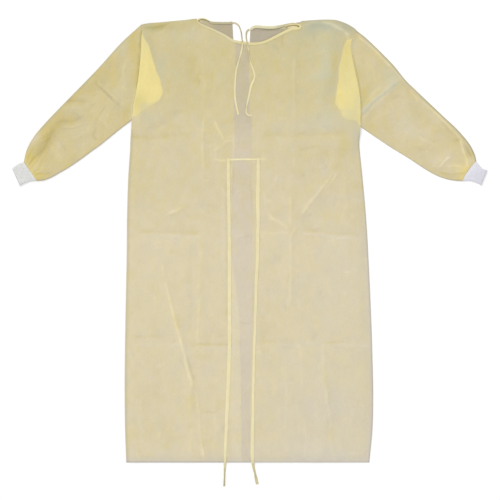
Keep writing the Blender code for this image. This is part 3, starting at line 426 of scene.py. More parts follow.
SLEEVE_SHADES = {
    -1: [
        (-455, 387, 90, 14, 44, -45, 12, 0), (-512, 288, 44, 14, 50, -65, 30, 0),
        (-572, 218, 20, 11, 66, 45, 80, 0), (-530, 168, 34, 8, -12, 45, 12, 0),
        (-551, 192, 18, 14, 0, 50, -5, 0), (-504, 215, 28, 22, -40, 25, 5, 0),
        (-351, 423, 26, 52, 0, 0, 16, 0), (-343, 493, 30, 13, 45, 0, -20, 15),
        (-460, 311, 42, 13, 15, -25, 20, 0), (-437, 270, 26, 13, 20, -8, 18, 0),
        (-502, 246, 16, 12, 0, 30, -15, 0), (-403, 254, 70, 30, 35, 12, -8, 0),
        (-556, 267, 18, 8, 56, 42, -30, 0), (-335, 408, 30, 46, 0, 14, -6, 18),
        (-364, 465, 26, 26, 45, -30, 5, 0), (-304, 509, 11, 32, 0, -4, 42, 0),
        (-304, 423, 12, 50, 0, 0, 22, 0), (-390, 423, 26, 16, 44, -30, 20, 0),
        (-421, 392, 26, 14, 44, -20, 20, 0), (-400, 356, 22, 18, 0, 26, -5, 5),
        (-429, 293, 50, 30, 38, 10, -10, 10), (-380, 267, 50, 12, 40, -10, 10, 0),
        (-468, 194, 40, 10, 34, -10, 8, 0), (-320, 335, 22, 14, 40, 0, 12, 0),
        (-533, 244, 30, 14, 52, -70, 15, 0), (-569, 179, 6, 15, 30, 60, 35, 0),
    ],
    1: [
        (520, 166, 50, 7, -4, 0, 20, 0), (559, 188, 5, 9, -30, 130, 25, 0), (551, 163, 8, 8, 0, 100, 20, 0),
        (525, 168, 26, 7, -4, -20, 0, 25), (575, 210, 8, 8, 0, 80, -35, 0),
        (304, 439, 30, 90, 10, 0, 20, 0), (302, 371, 15, 34, 0, 0, 34, 0), (295, 356, 8, 26, 0, 0, 40, 0),
        (465, 335, 42, 14, -42, 0, -15, 20), (364, 431, 26, 24, -40, -5, 5, 35),
        (556, 189, 14, 12, 0, 40, 15, 0), (575, 233, 12, 32, 25, -95, 15, 0),
        (533, 262, 22, 14, -45, -45, 15, 0), (385, 449, 12, 24, 40, -20, 15, 0),
        (328, 480, 70, 8, -44, -10, 8, 0), (389, 402, 6, 10, 0, 40, 25, 20),
        (429, 376, 40, 12, -40, -20, 5, 0), (351, 267, 90, 12, -33, -6, 5, 0),
        (317, 293, 26, 14, -30, 4, 10, 0), (411, 293, 46, 26, -38, 18, -15, 14),
        (333, 371, 34, 20, 40, 10, -5, 0), (504, 210, 24, 16, 20, 36, -20, 10),
        (309, 423, 16, 50, 8, 10, -10, 12), (463, 314, 50, 10, -38, -12, 10, 0),
    ],
}
SEAM_ALLOWANCE = {       # its width, how pale it is and how dark the line beside it
    -1: (5.2, 0.070, 0.045), 1: (9.5, 0.022, 0.012),
}
SLEEVE_LIGHT = {-1: -0.046, 1: -0.030}
SLEEVE_GOLD = {-1: 0.44, 1: 0.26}
WRIST_GOLD = {-1: 0.22, 1: 0.16}

BACK_CREASES = {
    -1: [
        (0.35, 4, -20, 20, 0, -300, 268, -230, 273, -150, 271, -70, 274),
        (0.35, 4, -20, 20, 0, -300, 14, -210, 18, -120, 15, -60, 17),
        (0.4, 4, -22, 20, 0, -305, -268, -200, -272, -110, -270, -35, -274),
        (0.4, 2.6, 30, 5, 0, -126, 240, -124, 110, -127, 30),
        (0.45, 2.6, 34, 5, 0, -125, -20, -128, -150, -124, -262),
        (0.4, 2.6, 30, 5, 0, -128, -280, -124, -400, -127, -560),
        (0.3, 2.2, 26, 0, 0, -232, 200, -200, 150, -176, 84),
        (0.3, 2.2, 26, 0, 0, -96, -60, -150, -120, -196, -210),
        (0.35, 2.2, 30, 0, 0, -240, -330, -214, -430, -196, -540),
        (0.3, 2, 26, 0, 0, -84, 480, -120, 430, -132, 360),
        (0.25, 2, 22, 0, 0, -254, 60, -236, -40, -242, -130),
        (0.25, 2, 22, 0, 0, -60, -340, -78, -420, -70, -500),
        (0.3, 3, -20, 10, 0, -200, 470, -190, 400, -212, 330),
    ],
    1: [
        (0.35, 4, -20, 20, 0, 20, 271, 110, 274, 190, 270, 270, 272),
        (0.35, 4, -20, 20, 0, 20, 16, 130, 13, 220, 17, 290, 15),
        (0.4, 4, -22, 20, 0, 20, -272, 100, -268, 200, -272, 300, -270),
        (0.4, 2.6, 30, 5, 0, 104, 460, 106, 380, 103, 290),
        (0.45, 2.6, 34, 5, 0, 105, 240, 102, 120, 106, 30),
        (0.4, 2.6, 30, 5, 0, 104, -10, 107, -130, 103, -255),
        (0.35, 2.4, 30, 5, 0, 246, -290, 232, -420, 240, -560),
        (0.3, 2.2, 26, 0, 0, 60, 180, 96, 130, 150, 96), (0.3, 2.2, 26, 0, 0, 240, 180, 200, 110, 186, 50),
        (0.3, 2.2, 26, 0, 0, 60, -330, 90, -420, 84, -530),
        (0.3, 2, 24, 0, 0, 160, -60, 184, -130, 176, -210),
        (0.25, 2, 22, 0, 0, 150, 520, 176, 470, 168, 400),
        (0.25, 2, 22, 0, 0, 270, -60, 262, -160, 272, -240),
    ],
}
# Painted light that lifts the cast shadow in the gaps beside the ends of the front's binding, and a painted
# shadow line under the right back's tape.
BACK_PAINTED_LIGHT = {          # beside the ends of the front's binding, and under the back's tape
    -1: [
        (-117, 566, 20, 9, -20, 120, 10, 20), (-131, 574, 7, 4, 0, 700, 0, 30),
    ],
    1: [
        (99, 555, 20, 7, 10, 140, 30, 20), (108, 559, 18, 6, 0, 800, 20, 0),
        (48, 548.5, 44, 2.4, 0, -180, 40, 20),
    ],
}


# --------------------------------------------------------------------- small tools
LATTICE = 128            # points a side of the repeating lattices behind the random fields


def smooth_step(low, high, value):
    """0 at low, 1 at high, with a smooth rise between."""
    t = np.clip((value - low) / (high - low), 0.0, 1.0)
    return t * t * (3.0 - 2.0 * t)


def fading(distance, reach):
    """1 where the distance is 0, less and less beyond."""
    return np.exp(-distance / reach)


def line_at(distance, width):
    """1 where the distance is 0, dying out on both sides."""
    return np.exp(-(distance / width) ** 2)


def column(table, at, k=1, **ends):
    """Column k of a table, read at places along its first one."""
    return np.interp(at, [row[0] for row in table], [row[k] for row in table], **ends)


def smooth_path(points, per_span=12):
    """Catmull-Rom curve through 2D points, as a dense polyline."""
    pts = np.array(points, dtype=float)
    ends = np.vstack([2 * pts[0] - pts[1], pts, 2 * pts[-1] - pts[-2]])
    dense = [0.5 * (2 * b + (c - a) * t + (2 * a - 5 * b + 4 * c - d) * t ** 2
                    + (3 * b - a - 3 * c + d) * t ** 3)
             for a, b, c, d in zip(ends, ends[1:], ends[2:], ends[3:])
             for t in np.linspace(0.0, 1.0, per_span, endpoint=False)]
    return np.array([*dense, pts[-1]])


def distances(path):
    """How far along a polyline each of its points lies."""
    return np.concatenate([[0.0], np.cumsum(np.hypot(*np.diff(path, axis=0).T))])


def along(path, share):
    """Points at the given shares of a polyline's length."""
    run = distances(path)
    return np.stack([np.interp(np.asarray(share) * run[-1], run, path[:, k]) for k in (0, 1)], axis=-1)


def stretch(path, share, low, high):
    """A path's points where share runs from low to high."""
    return along(path, np.clip((share - low) / (high - low), 0, 1))


def x_at(path, y):
    return np.interp(y, path[:, 1], path[:, 0])


def edge_directions(line):
    """Unit normals in plan, to the right of each point's direction of travel."""
    tangent = np.gradient(line, axis=0)
    tangent /= np.hypot(*tangent.T)[:, None]
    return np.stack([tangent[:, 1], -tangent[:, 0]], axis=-1)


def cloud(x, y, cell, seed):
    """A smooth random field from -1 to 1 over plan positions, cell mm a bump."""
    lattice = np.random.default_rng(seed).uniform(-1, 1, (LATTICE, LATTICE))
    u, v = np.asarray(x) / cell + 40.37, np.asarray(y) / cell + 60.11
    i, j = np.floor(u).astype(int), np.floor(v).astype(int)
    s, t = (w * w * (3 - 2 * w) for w in (u - i, v - j))
    i, j, k, m = (w % LATTICE for w in (i, j, i + 1, j + 1))
    low = lattice[i, j] * (1 - s) + lattice[k, j] * s
    high = lattice[i, m] * (1 - s) + lattice[k, m] * s
    return low * (1 - t) + high * t


def crumple(x, y, cell, seed):
    """Grooves from 0 to 1 between the irregular facets of crushed cloth."""
    jitter = np.random.default_rng(seed).uniform(0.08, 0.92, (2, LATTICE, LATTICE))
    u, v = x / cell + 41.3, y / cell + 61.7
    i, j = np.floor(u).astype(int), np.floor(v).astype(int)
    first = np.full(np.shape(x), 9.0)
    second = first.copy()
    for di in (-1, 0, 1):
        for dj in (-1, 0, 1):
            a, b = (i + di) % LATTICE, (j + dj) % LATTICE
            d = np.hypot(i + di + jitter[0, a, b] - u, j + dj + jitter[1, a, b] - v)
            second = np.where(d < first, first, np.minimum(second, d))
            first = np.minimum(first, d)
    return fading((second - first) * cell, 2.6)


def rumple(x, y, seed, amount):
    """Small irregular waviness of limp cloth, long waves and short ones."""
    broad = cloud(x, y, 70, seed) * 0.55 + cloud(x, y, 31, seed + 11) * 0.3
    fine = cloud(x, y, 13, seed + 12) * 0.10 + cloud(x, y * 0.5, 6.5, seed + 13) * 0.05
    ridged = 0.30 * (0.5 - np.abs(cloud(x + 0.4 * y, y - 0.4 * x, 44, seed + 14)))
    patchy = np.clip(0.5 + cloud(x, y, 90, seed + 15), 0, 1)
    grooves = crumple(x, y, 41, seed + 16) * patchy + 0.6 * crumple(x, y, 19, seed + 17) * (1 - patchy)
    return amount * (broad + fine + ridged - 0.55 * grooves)


def mottle(x, y, seed):
    """Uneven shade of thin cloth: light, gold and blue shifts."""
    streaky = cloud(x + 0.15 * y, y * 0.4, 9, seed)
    blotch = cloud(x, y, 17, seed + 1) + 0.7 * cloud(x, y, 37, seed + 2)
    other = cloud(x, y, 13, seed + 3) + 0.7 * cloud(x, y, 29, seed + 4)
    wide = cloud(x, y, 80, seed + 5)
    return np.stack([0.009 * blotch + 0.009 * streaky + 0.006 * wide, 0.11 * other + 0.07 * streaky,
                     0.17 * cloud(x, y, 23, seed + 6) + 0.08 * other], axis=-1)


def segment_distance(x, y, points):
    """Distance to a polyline, how far along it that is, and the polyline's length."""
    best = np.full(np.shape(x), 1e9)
    place = np.zeros(np.shape(x))
    run = 0.0
    for (x0, y0), (x1, y1) in zip(points, points[1:]):
        dx, dy = x1 - x0, y1 - y0
        length = math.hypot(dx, dy)
        t = np.clip(((x - x0) * dx + (y - y0) * dy) / length, 0, length)
        d = np.hypot(x - x0 - dx / length * t, y - y0 - dy / length * t)
        place = np.where(d < best, run + t, place)
        best = np.minimum(d, best)
        run += length
    return best, place, run


def inside_distance(x, y, border, far):
    """Signed distance to an open border, negative on the side of the points in far."""
    loop = [*border, *far]
    inside = np.zeros(np.shape(x), dtype=bool)
    for (x0, y0), (x1, y1) in zip(loop, loop[1:] + loop[:1]):
        if y0 != y1:
            inside ^= ((y0 > y) != (y1 > y)) & (x < x0 + (y - y0) * (x1 - x0) / (y1 - y0))
    d = segment_distance(x, y, border)[0]
    return np.where(inside, -d, d)


CREASE_REACH = 9         # widths to one side at which a crease is cut off
CREASE_TIP = 12.0        # length over which a crease's end dies out
LEAST_WIDTH = 1.9
NARROW = 2.9             # creases narrower than this get stronger painted light and shade
NARROW_GAIN = 2.7
BLUE_GAIN = 0.6


def crease_fields(x, y, creases, seed):
    """Height of all the creases at plan positions, and their shifts of light, gold and blue;
    the light is mostly painted highlight along ridges and painted shade along troughs.
    """
    height = np.zeros(np.shape(x))
    tone = np.zeros((*np.shape(x), 3))
    wx, wy = (w + 1.0 * cloud(x, y, 21, seed + k) + 0.7 * cloud(x, y, 7, seed + k + 1)
              for w, k in ((x, 0), (y, 2)))
    for n, (high, width, light, gold, blue, *line) in enumerate(creases):
        xs, ys = line[::2], line[1::2]
        reach = CREASE_REACH * width + 4
        near = (x > min(xs) - reach) & (x < max(xs) + reach) & (y > min(ys) - reach) & (y < max(ys) + reach)
        if not near.any():
            continue
        d, place, length = segment_distance(wx[near], wy[near], [*zip(xs, ys)])
        uneven = 0.85 + 0.42 * cloud(place, np.full(place.shape, 31.0 * n), 16, seed + 5)
        tip = min(CREASE_TIP, length / 3)
        ends = smooth_step(-0.5 * tip, tip, place) * smooth_step(-0.5 * tip, tip, length - place)
        across = fading(np.sqrt(d * d + 0.5) - 0.7, max(width, LEAST_WIDTH)) * (d < reach)
        shape = across * uneven * ends
        height[near] += high * shape
        gain = NARROW_GAIN if width < NARROW else 1.0
        tone[near] += shape[:, None] * [light / 1000 * gain, gold / 100, blue / 100 * BLUE_GAIN]
    return height, tone


def shade_fields(x, y, shades):
    tone = np.zeros((*np.shape(x), 3))
    for cx, cy, long, wide, turn, light, gold, blue in shades:
        cos, sin = math.cos(math.radians(turn)), math.sin(math.radians(turn))
        dx, dy = x - cx, y - cy
        away = ((dx * cos + dy * sin) / long) ** 2 + ((dy * cos - dx * sin) / wide) ** 2
        tone += np.exp(-away)[..., None] * [light / 1000, gold / 100, blue / 100]
    return tone


def fold_relief(x, y, folds):
    total = np.zeros(np.shape(x))
    for x0, y0, x1, y1, height, width in folds:
        dx, dy = x1 - x0, y1 - y0
        length = math.hypot(dx, dy)
        t = ((x - x0) * dx + (y - y0) * dy) / length
        across = ((x - x0) * dy - (y - y0) * dx) / length
        beyond = np.maximum(0.0, np.maximum(-t, t - length))
        total += height * line_at(beyond, FOLD_END) * line_at(across, width)
    return total


def small_creases(count, seed, x_range, y_range):
    """Rows of short creases, strewn unevenly, of cloth that was packed tightly."""
    rng = np.random.default_rng(seed)
    found = []
    for _ in range(count):
        cx, cy = rng.uniform(*x_range), rng.uniform(*y_range)
        turn = math.radians(rng.choice([90, 90, 60, -55, 20, -30, 0, 110]) + rng.normal(0, 14))
        half = rng.uniform(4, 22) * rng.uniform(0.5, 1.0) if rng.random() < 0.5 else rng.uniform(1.5, 4.5)
        dx, dy = half * math.cos(turn), half * math.sin(turn)
        bow = rng.normal(0, 0.16)
        height = rng.choice([-1, 1, 1]) * rng.uniform(0.25, 0.75)
        # the light follows the height's sign: a painted highlight on a ridge, painted shade in a trough
        width, light = rng.uniform(1.2, 2.2), 16 * np.sign(height) * rng.uniform(0.5, 1.7)
        gold, blue = rng.uniform(-5, 16), rng.uniform(-5, 16)
        line = (cx - dx, cy - dy, cx - dy * bow, cy + dx * bow, cx + dx, cy + dy)
        found.append((height, width, light, gold, blue, *line))
    return found


# ------------------------------------------------------------------------- meshes
STEP = 4                 # cells of a fine outer grid to one of the coarser inner grid


def add_mesh(name, verts, faces, mat, fields=None, sharp=50):
    """One smooth body from corners (mm), faces and per-corner fields."""
    mesh = bpy.data.meshes.new(name)
    mesh.from_pydata((np.asarray(verts) * MM).tolist(), [], faces)
    bm = bmesh.new()
    bm.from_mesh(mesh)
    bmesh.ops.recalc_face_normals(bm, faces=bm.faces)
    bm.to_mesh(mesh)
    bm.free()
    for key, values in (fields or {}).items():
        layer = mesh.attributes.new(key, "FLOAT_VECTOR", "POINT")
        layer.data.foreach_set("vector", np.asarray(values, dtype=np.float32).ravel())
    mesh.shade_smooth()
    mesh.set_sharp_from_angle(angle=math.radians(sharp))
    mesh.materials.append(mat)
    obj = bpy.data.objects.new(name, mesh)
    bpy.context.scene.collection.objects.link(obj)
    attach(obj, "root")
    return obj


def shell(name, outer, inner, step, mat, fields, tube=False):
    """A closed thin wall: an outer grid, an inner one of every step-th point, joined at the rims.

    A field is one grid of values, or a pair of grids for the outer and the inner wall.
    """
    rows, cols = outer.shape[:2]
    deep_rows, few = inner.shape[:2]
    shift = rows * cols
    last = few if tube else few - 1
    faces = []
    for i in range(rows - 1):
        a, b = i * cols, (i + 1) * cols
        count = cols if tube else cols - 1
        faces += [(a + j, a + (j + 1) % cols, b + (j + 1) % cols, b + j) for j in range(count)]
    for i in range(deep_rows - 1):
        a, b = shift + i * few, shift + (i + 1) * few
        faces += [(b + j, b + (j + 1) % few, a + (j + 1) % few, a + j) for j in range(last)]
        if not tube:
            run = [(i * step + k) * cols for k in range(step + 1)]
            faces += [(*run, b, a), (*[k + cols - 1 for k in run[::-1]], a + few - 1, b + few - 1)]
    top, deep = (rows - 1) * cols, shift + (deep_rows - 1) * few
    for j in range(last):
        run = [(j * step + k) % cols for k in range(step + 1)]
        after = (j + 1) % few
        faces += [(*run[::-1], shift + j, shift + after), (*[top + k for k in run], deep + after, deep + j)]
    joined = {}
    for key, values in fields.items():
        pair = values if isinstance(values, tuple) else (values, values[::step, ::step])
        joined[key] = np.concatenate([grid.reshape(-1, 3) for grid in pair])
    return add_mesh(name, np.concatenate([outer.reshape(-1, 3), inner.reshape(-1, 3)]), faces, mat, joined)


def lowest_nearby(z):
    """Lowest value within one coarse cell, at every coarse grid point."""
    low = z.copy()
    for shift in range(1, STEP + 1):
        for a, b in ((low, z), (low.T, z.T)):
            a[shift:] = np.minimum(a[shift:], b[:-shift])
            a[:-shift] = np.minimum(a[:-shift], b[shift:])
    again = low.copy()
    again[:-1] = np.minimum(again[:-1], low[1:])
    again[1:] = np.minimum(again[1:], low[:-1])
    return again[::STEP, ::STEP]


def tree_of(obj):
    polygons = [tuple(p.vertices) for p in obj.data.polygons]
    return BVHTree.FromPolygons([v.co for v in obj.data.vertices], polygons)


def surface_height(trees, x, y):
    hits = [tree.ray_cast(Vector((x * MM, y * MM, 0.1)), Vector((0, 0, -1)))[0] for tree in trees]
    return max([0.0, *(hit.z / MM for hit in hits if hit is not None)])


# ---------------------------------------------------------------------- materials
LIGHT_GAIN = 1.12        # how bright a white sheet facing up shows under the lights
BOND_PITCH = 0.0017      # metres between the cloth's bond points
FIBRE_STRETCH = (1.0, 0.42, 1.0)


def shade(*rgb):
    """Base colour of cloth that shows in this 0 to 255 shade under the lights."""
    steps = [value / 255 for value in rgb]
    linear = [v / 12.92 if v <= 0.04045 else ((v + 0.055) / 1.055) ** 2.4 for v in steps]
    return (*(v / LIGHT_GAIN for v in linear), 1.0)


class Surface:
    """A new material, with short calls for its shader nodes."""

    def __init__(self, name, rough, specular=0.5, sheen=0.0, sheen_rough=0.5):
        self.material = bpy.data.materials.new(name)
        self.material.use_nodes = True
        self.tree = self.material.node_tree
        self.shader = self.tree.nodes["Principled BSDF"]
        self.fill(self.shader, {"Roughness": rough, "Specular IOR Level": specular, "Sheen Weight": sheen,
                                "Sheen Roughness": sheen_rough})
        self.place = self.add("TexCoord").outputs["Object"]

    def fill(self, made, inputs):
        """Sets a node's inputs, or links them where the value is a socket."""
        for key, value in inputs.items():
            if isinstance(value, bpy.types.NodeSocket):
                self.tree.links.new(value, made.inputs[key])
            else:
                made.inputs[key].default_value = value
        return made

    def add(self, kind, inputs=None, **props):
        made = self.tree.nodes.new("ShaderNode" + kind)
        for key, value in props.items():
            setattr(made, key, value)
        return self.fill(made, inputs or {})

    def math(self, operation, *values):
        return self.add("Math", dict(enumerate(values)), operation=operation).outputs[0]

    def times(self, a, b):
        return self.math("MULTIPLY", a, b)

    def scaled(self, value, gain, base):
        return self.math("MULTIPLY_ADD", value, gain, base)

    def swing(self, field, gain, base):
        """base, shifted by how far the field is from its middle."""
        return self.scaled(self.math("SUBTRACT", field, 0.5), gain, base)

    def wave(self, value, turns):
        return self.math("SINE", self.times(value, turns))

    def mix(self, share, a, b):
        """Colour a where share is 0, b where it is 1."""
        return self.add("MixRGB", {"Fac": share, "Color1": a, "Color2": b}).outputs[0]

    def ramp(self, value, low, high):
        """0 at low, 1 at high."""
        return self.add("MapRange", {0: value, 1: low, 2: high, 3: 0.0, 4: 1.0},
                        interpolation_type="SMOOTHSTEP").outputs[0]

    def noise(self, coords, scale, detail=3.0, roughness=0.55):
        return self.add("TexNoise", {"Vector": coords, "Scale": scale, "Detail": detail,
                                     "Roughness": roughness}).outputs["Fac"]

    def split(self, vector):
        return self.add("SeparateXYZ", {0: vector}).outputs

    def field(self, name):
        """The three values of one of the mesh's fields."""
        return self.split(self.add("Attribute", attribute_name=name).outputs["Vector"])

    def bump(self, height, strength, distance, **below):
        inputs = {"Height": height, "Strength": strength, "Distance": distance, **below}
        return self.add("Bump", inputs).outputs[0]

    def finish(self, colour, normal):
        self.fill(self.shader, {"Base Color": colour, "Normal": normal})
        return self.material


def cloth_material(name, base, gold, blue, high, single=None, tuck=None, sheen=0.18, body=1.0):
    """Spunbond cloth: fibre cloudiness, bond points, and the mesh's fields of light, gold and
    blue, which carry painted light and shade as well as the cloth's own colour.
    """
    s = Surface(name, 0.66, 0.28, sheen, 0.45)
    fibres = s.add("Mapping", {"Vector": s.place, "Scale": FIBRE_STRETCH}).outputs[0]
    light, golden, bluish = s.field("tone")
    colour = base
    if single:
        zone = s.field("zone")
        wobble = s.scaled(s.noise(s.place, 260, 2.0), 1.4, -0.7)
        for k, width, shown in ((0, 0.7, single), (1, 1.2, tuck)):
            colour = s.mix(s.ramp(s.math("ADD", zone[k], wobble), width, -width), colour, shown)
    cloudy = s.noise(fibres, 55, 5.0, 0.62)
    speckle = s.noise(fibres, 420, 3.0, 0.6)
    fuzz = s.noise(s.place, 1900, 2.0, 0.6)
    colour = s.mix(s.swing(cloudy, 0.55 * body, golden), colour, gold)
    x, y, _ = s.split(s.place)
    bluish = s.swing(s.noise(s.place, 19, 2.0), 0.5 * body, bluish)
    colour = s.mix(bluish, colour, s.mix(s.ramp(y, 0.15, 0.42), blue, high))
    grain = s.swing(speckle, 0.15 * body, s.swing(cloudy, 0.11 * body, 1.0))
    grain = s.math("ADD", s.swing(fuzz, 0.06, grain), light)
    turns = math.tau / BOND_PITCH
    bond = s.ramp(s.times(s.wave(x, turns), s.wave(y, turns * 0.8)), 0.45, 0.8)
    grain = s.scaled(bond, -0.035, grain)
    grey = s.add("CombineXYZ", {0: grain, 1: grain, 2: grain}).outputs[0]
    colour = s.add("VectorMath", {0: colour, 1: grey}, operation="MULTIPLY").outputs[0]
    fine = s.bump(s.scaled(speckle, 0.9, s.scaled(bond, -0.7, fuzz)), 0.30, 0.00025)
    return s.finish(colour, s.bump(cloudy, 0.28, 0.0012, Normal=fine))


def knit_material(name):
    """Off-white rib knit: rows of loops down each rib, and a shadow between ribs."""
    s = Surface(name, 0.88, 0.2, 0.35, 0.5)
    grid = s.field("knit")
    slant = s.scaled(s.math("ABSOLUTE", s.wave(grid[0], math.tau)), 0.35, grid[1])
    loops = s.scaled(s.wave(slant, math.tau), 0.5, 0.5)
    fuzz = s.noise(s.place, 1500, 3.0, 0.65)
    side = s.ramp(s.split(s.place)[0], -0.2, 0.2)
    pale = s.mix(side, shade(238, 239, 234), shade(239, 238, 247))
    grey = s.mix(side, shade(229, 230, 226), shade(230, 229, 240))
    colour = s.mix(s.noise(s.place, 90, 3.0), pale, grey)
    for share, gain, shown in ((loops, 0.12, (204, 204, 211)),
                               (s.ramp(grid[2], 0.55, 0.0), 0.36, (190, 190, 200)),       # between ribs
                               (s.ramp(grid[1], 4.0, 0.0), 0.4, (246, 246, 244)),         # by the sleeve
                               (s.ramp(grid[1], 18.8, 19.8), 0.5, (176, 176, 182)),       # at the mouth
                               (fuzz, 0.14, (240, 240, 243))):
        colour = s.mix(s.times(share, gain), colour, shade(*shown))
    return s.finish(colour, s.bump(s.scaled(loops, -0.8, fuzz), 0.55, 0.0004))


def thread_material(name, colour, other):
    s = Surface(name, 0.55, sheen=0.2)
    twist = s.noise(s.place, 2600, 2.0)
    return s.finish(s.mix(twist, colour, other), s.bump(twist, 0.4, 0.0002))


def floor_material():
    s = Surface("studio_floor", 0.9, 0.1)
    mottled = s.mix(s.noise(s.place, 3.0, 2.0), (0.51, 0.51, 0.51, 1), (0.52, 0.52, 0.52, 1))
    s.fill(s.shader, {"Base Color": mottled, "Emission Color": (1.0, 1.0, 1.0, 1.0),
                      "Emission Strength": 0.46})
    return s.material


# ---------------------------------------------------------------- camera and lights
PHOTO_WIDTH = 1.3        # metres across the photograph at the floor
CAMERA_PLACE = (0.0, -0.02405, 4.0)
SENSOR = 36.0
LIGHTS = {               # strength, spread in degrees, where it shines from
    "key": (2.60, 34, (-1.3, 1.1, 1.7)),
    "fill": (0.70, 60, (1.6, -0.9, 1.2)),
}
WORLD_COLOUR = (1.0, 0.995, 0.985, 1.0)
WORLD_STRENGTH = 0.40
FLOOR_HALF = 9.0
FLOOR_DROP = 0.0006


def add_object(name, data):
    obj = bpy.data.objects.new(name, data)
    bpy.context.scene.collection.objects.link(obj)
    return obj


def make_studio():
    """Camera straight above, two soft suns, an even sky and a pale floor."""
    scene = bpy.context.scene
    data = bpy.data.cameras.new("camera")
    data.sensor_width = SENSOR
    data.lens = SENSOR * CAMERA_PLACE[2] / PHOTO_WIDTH
    data.clip_end = 60.0
    scene.camera = add_object("camera", data)
    scene.camera.location = CAMERA_PLACE
    scene.world = bpy.data.worlds.new("studio")
    scene.world.use_nodes = True
    background = scene.world.node_tree.nodes["Background"]
    background.inputs["Color"].default_value = WORLD_COLOUR
    background.inputs["Strength"].default_value = WORLD_STRENGTH
    for name, (strength, spread, place) in LIGHTS.items():
        data = bpy.data.lights.new(name, "SUN")
        data.energy = strength
        data.angle = math.radians(spread)
        add_object(name, data).rotation_euler = (-Vector(place)).to_track_quat("-Z", "Y").to_euler()
    view = scene.view_settings
    view.view_transform, view.look, view.exposure, view.gamma = "Standard", "None", 0.0, 1.0
    mesh = bpy.data.meshes.new("floor")
    corners = [(x * FLOOR_HALF, y * FLOOR_HALF, 0) for x, y in ((-1, -1), (1, -1), (1, 1), (-1, 1))]
    mesh.from_pydata(corners, [], [(0, 1, 2, 3)])
    mesh.materials.append(floor_material())
    floor = add_object("floor", mesh)
    floor.location.z = -FLOOR_DROP


# --------------------------------------------------------------------- front panel
SEAMS = {side: [(x, y) for y, x, _ in rows] for side, rows in ARMHOLES.items()}
SIDES = {side: smooth_path([(row[k], row[0]) for row in BODY_SIDES] + SEAMS[side])
         for side, k in ((-1, 1), (1, 2))}
SHOULDERS = {side: smooth_path(points) for side, points in SHOULDER.items()}
NECK_FRONT = smooth_path(NECKLINE_FRONT)
OPENINGS = {side: smooth_path(points) for side, points in OPENING.items()}
TIP_LEFT_Y, TIP_RIGHT_Y = ARMHOLES[-1][-1][0], ARMHOLES[1][-1][0]
TOP_LEFT, TOP_RIGHT = 0.26, 0.73      # shares across where the shoulders meet the neckline
CURVED_ROWS_FROM = 180.0
ROLL_RADIUS = 3.0
TUCK_MARGIN = 26
TUCK_SLOPE = 49
UNDERARM_LIFTED = 24
UNDERARM_SLOPE = 46
FRONT_WIDTH = 633.0
FRONT_EDGE = (0.0, 0.25, 0.8, 1.8, 3.6)
FRONT_PITCH = 3.1
LIGHT_SHIFT = (1.8, -1.3)     # creases show this much towards the light
FAR = 99                 # added to a distance where an edge doesn't count
FOLD_SHARE = 0.5         # how much of the solids' broad folds the looks keep
LEAST_HEIGHT = 0.6
GROOVE = 0.45            # depth and width of the seam's groove along the armholes
GROOVE_WIDTH = 3.0
HEM_WAVE = 0.5           # height and length of the hem's waves
HEM_WAVE_LENGTH = 46
RIM_INSET = 0.8          # how far the inner wall draws in where an edge rolls down


def tuck_depth(y, side):
    """How far the sleeve's end reaches into the body at a height."""
    return column(ARMHOLES[side], y, 2, left=0.0)


def tuck_lift(x, y):
    """How far the tucked sleeve ends hold the front up."""
    lift = np.zeros(np.shape(x))
    for side in (-1, 1):
        inside = side * (x_at(SIDES[side], y) - x)
        reach = np.maximum.reduce([tuck_depth(y + dy, side) for dy in (-22, 0, 22)])
        across = 1.0 - smooth_step(0.0, 1.0, (inside - reach - TUCK_MARGIN) / TUCK_SLOPE)
        low = ARMHOLES[side][0][0] - UNDERARM_LIFTED
        lift = np.maximum(lift, across * smooth_step(low - UNDERARM_SLOPE, low, y))
    return lift * TUCK_LIFT


def roll(distance, weight):
    """Share of its height that cloth keeps near an edge where it turns down."""
    t = np.minimum(distance / ROLL_RADIUS, 1.0)
    return 1.0 - weight * (1.0 - np.sqrt(1.0 - (1.0 - t) ** 2))


def even_steps(length, edge, pitch):
    """Distances 0 to length: fixed close steps at both ends, even ones between."""
    middle = length - 2 * edge[-1]
    count = round(middle / pitch)
    count += -(2 * (len(edge) - 1) + count) % STEP
    inner = edge[-1] + middle * np.arange(1, count) / count
    return np.array([*edge, *inner, *(length - np.array(edge[::-1]))])


def panel_plan(rows, tip_y, share, left, right, top, tip):
    """A panel ruled from left to right, its upper rows bent to the top line."""
    s = share[None, :, None]
    bend = (np.maximum(0.0, (rows - CURVED_ROWS_FROM) / (tip_y - CURVED_ROWS_FROM)) ** 1.3)[:, None, None]
    plan = left * (1 - s) + right * s
    plan = plan + bend * (top[None] - (tip * (1 - s) + right[-1:] * s))
    return plan[..., 0], plan[..., 1]


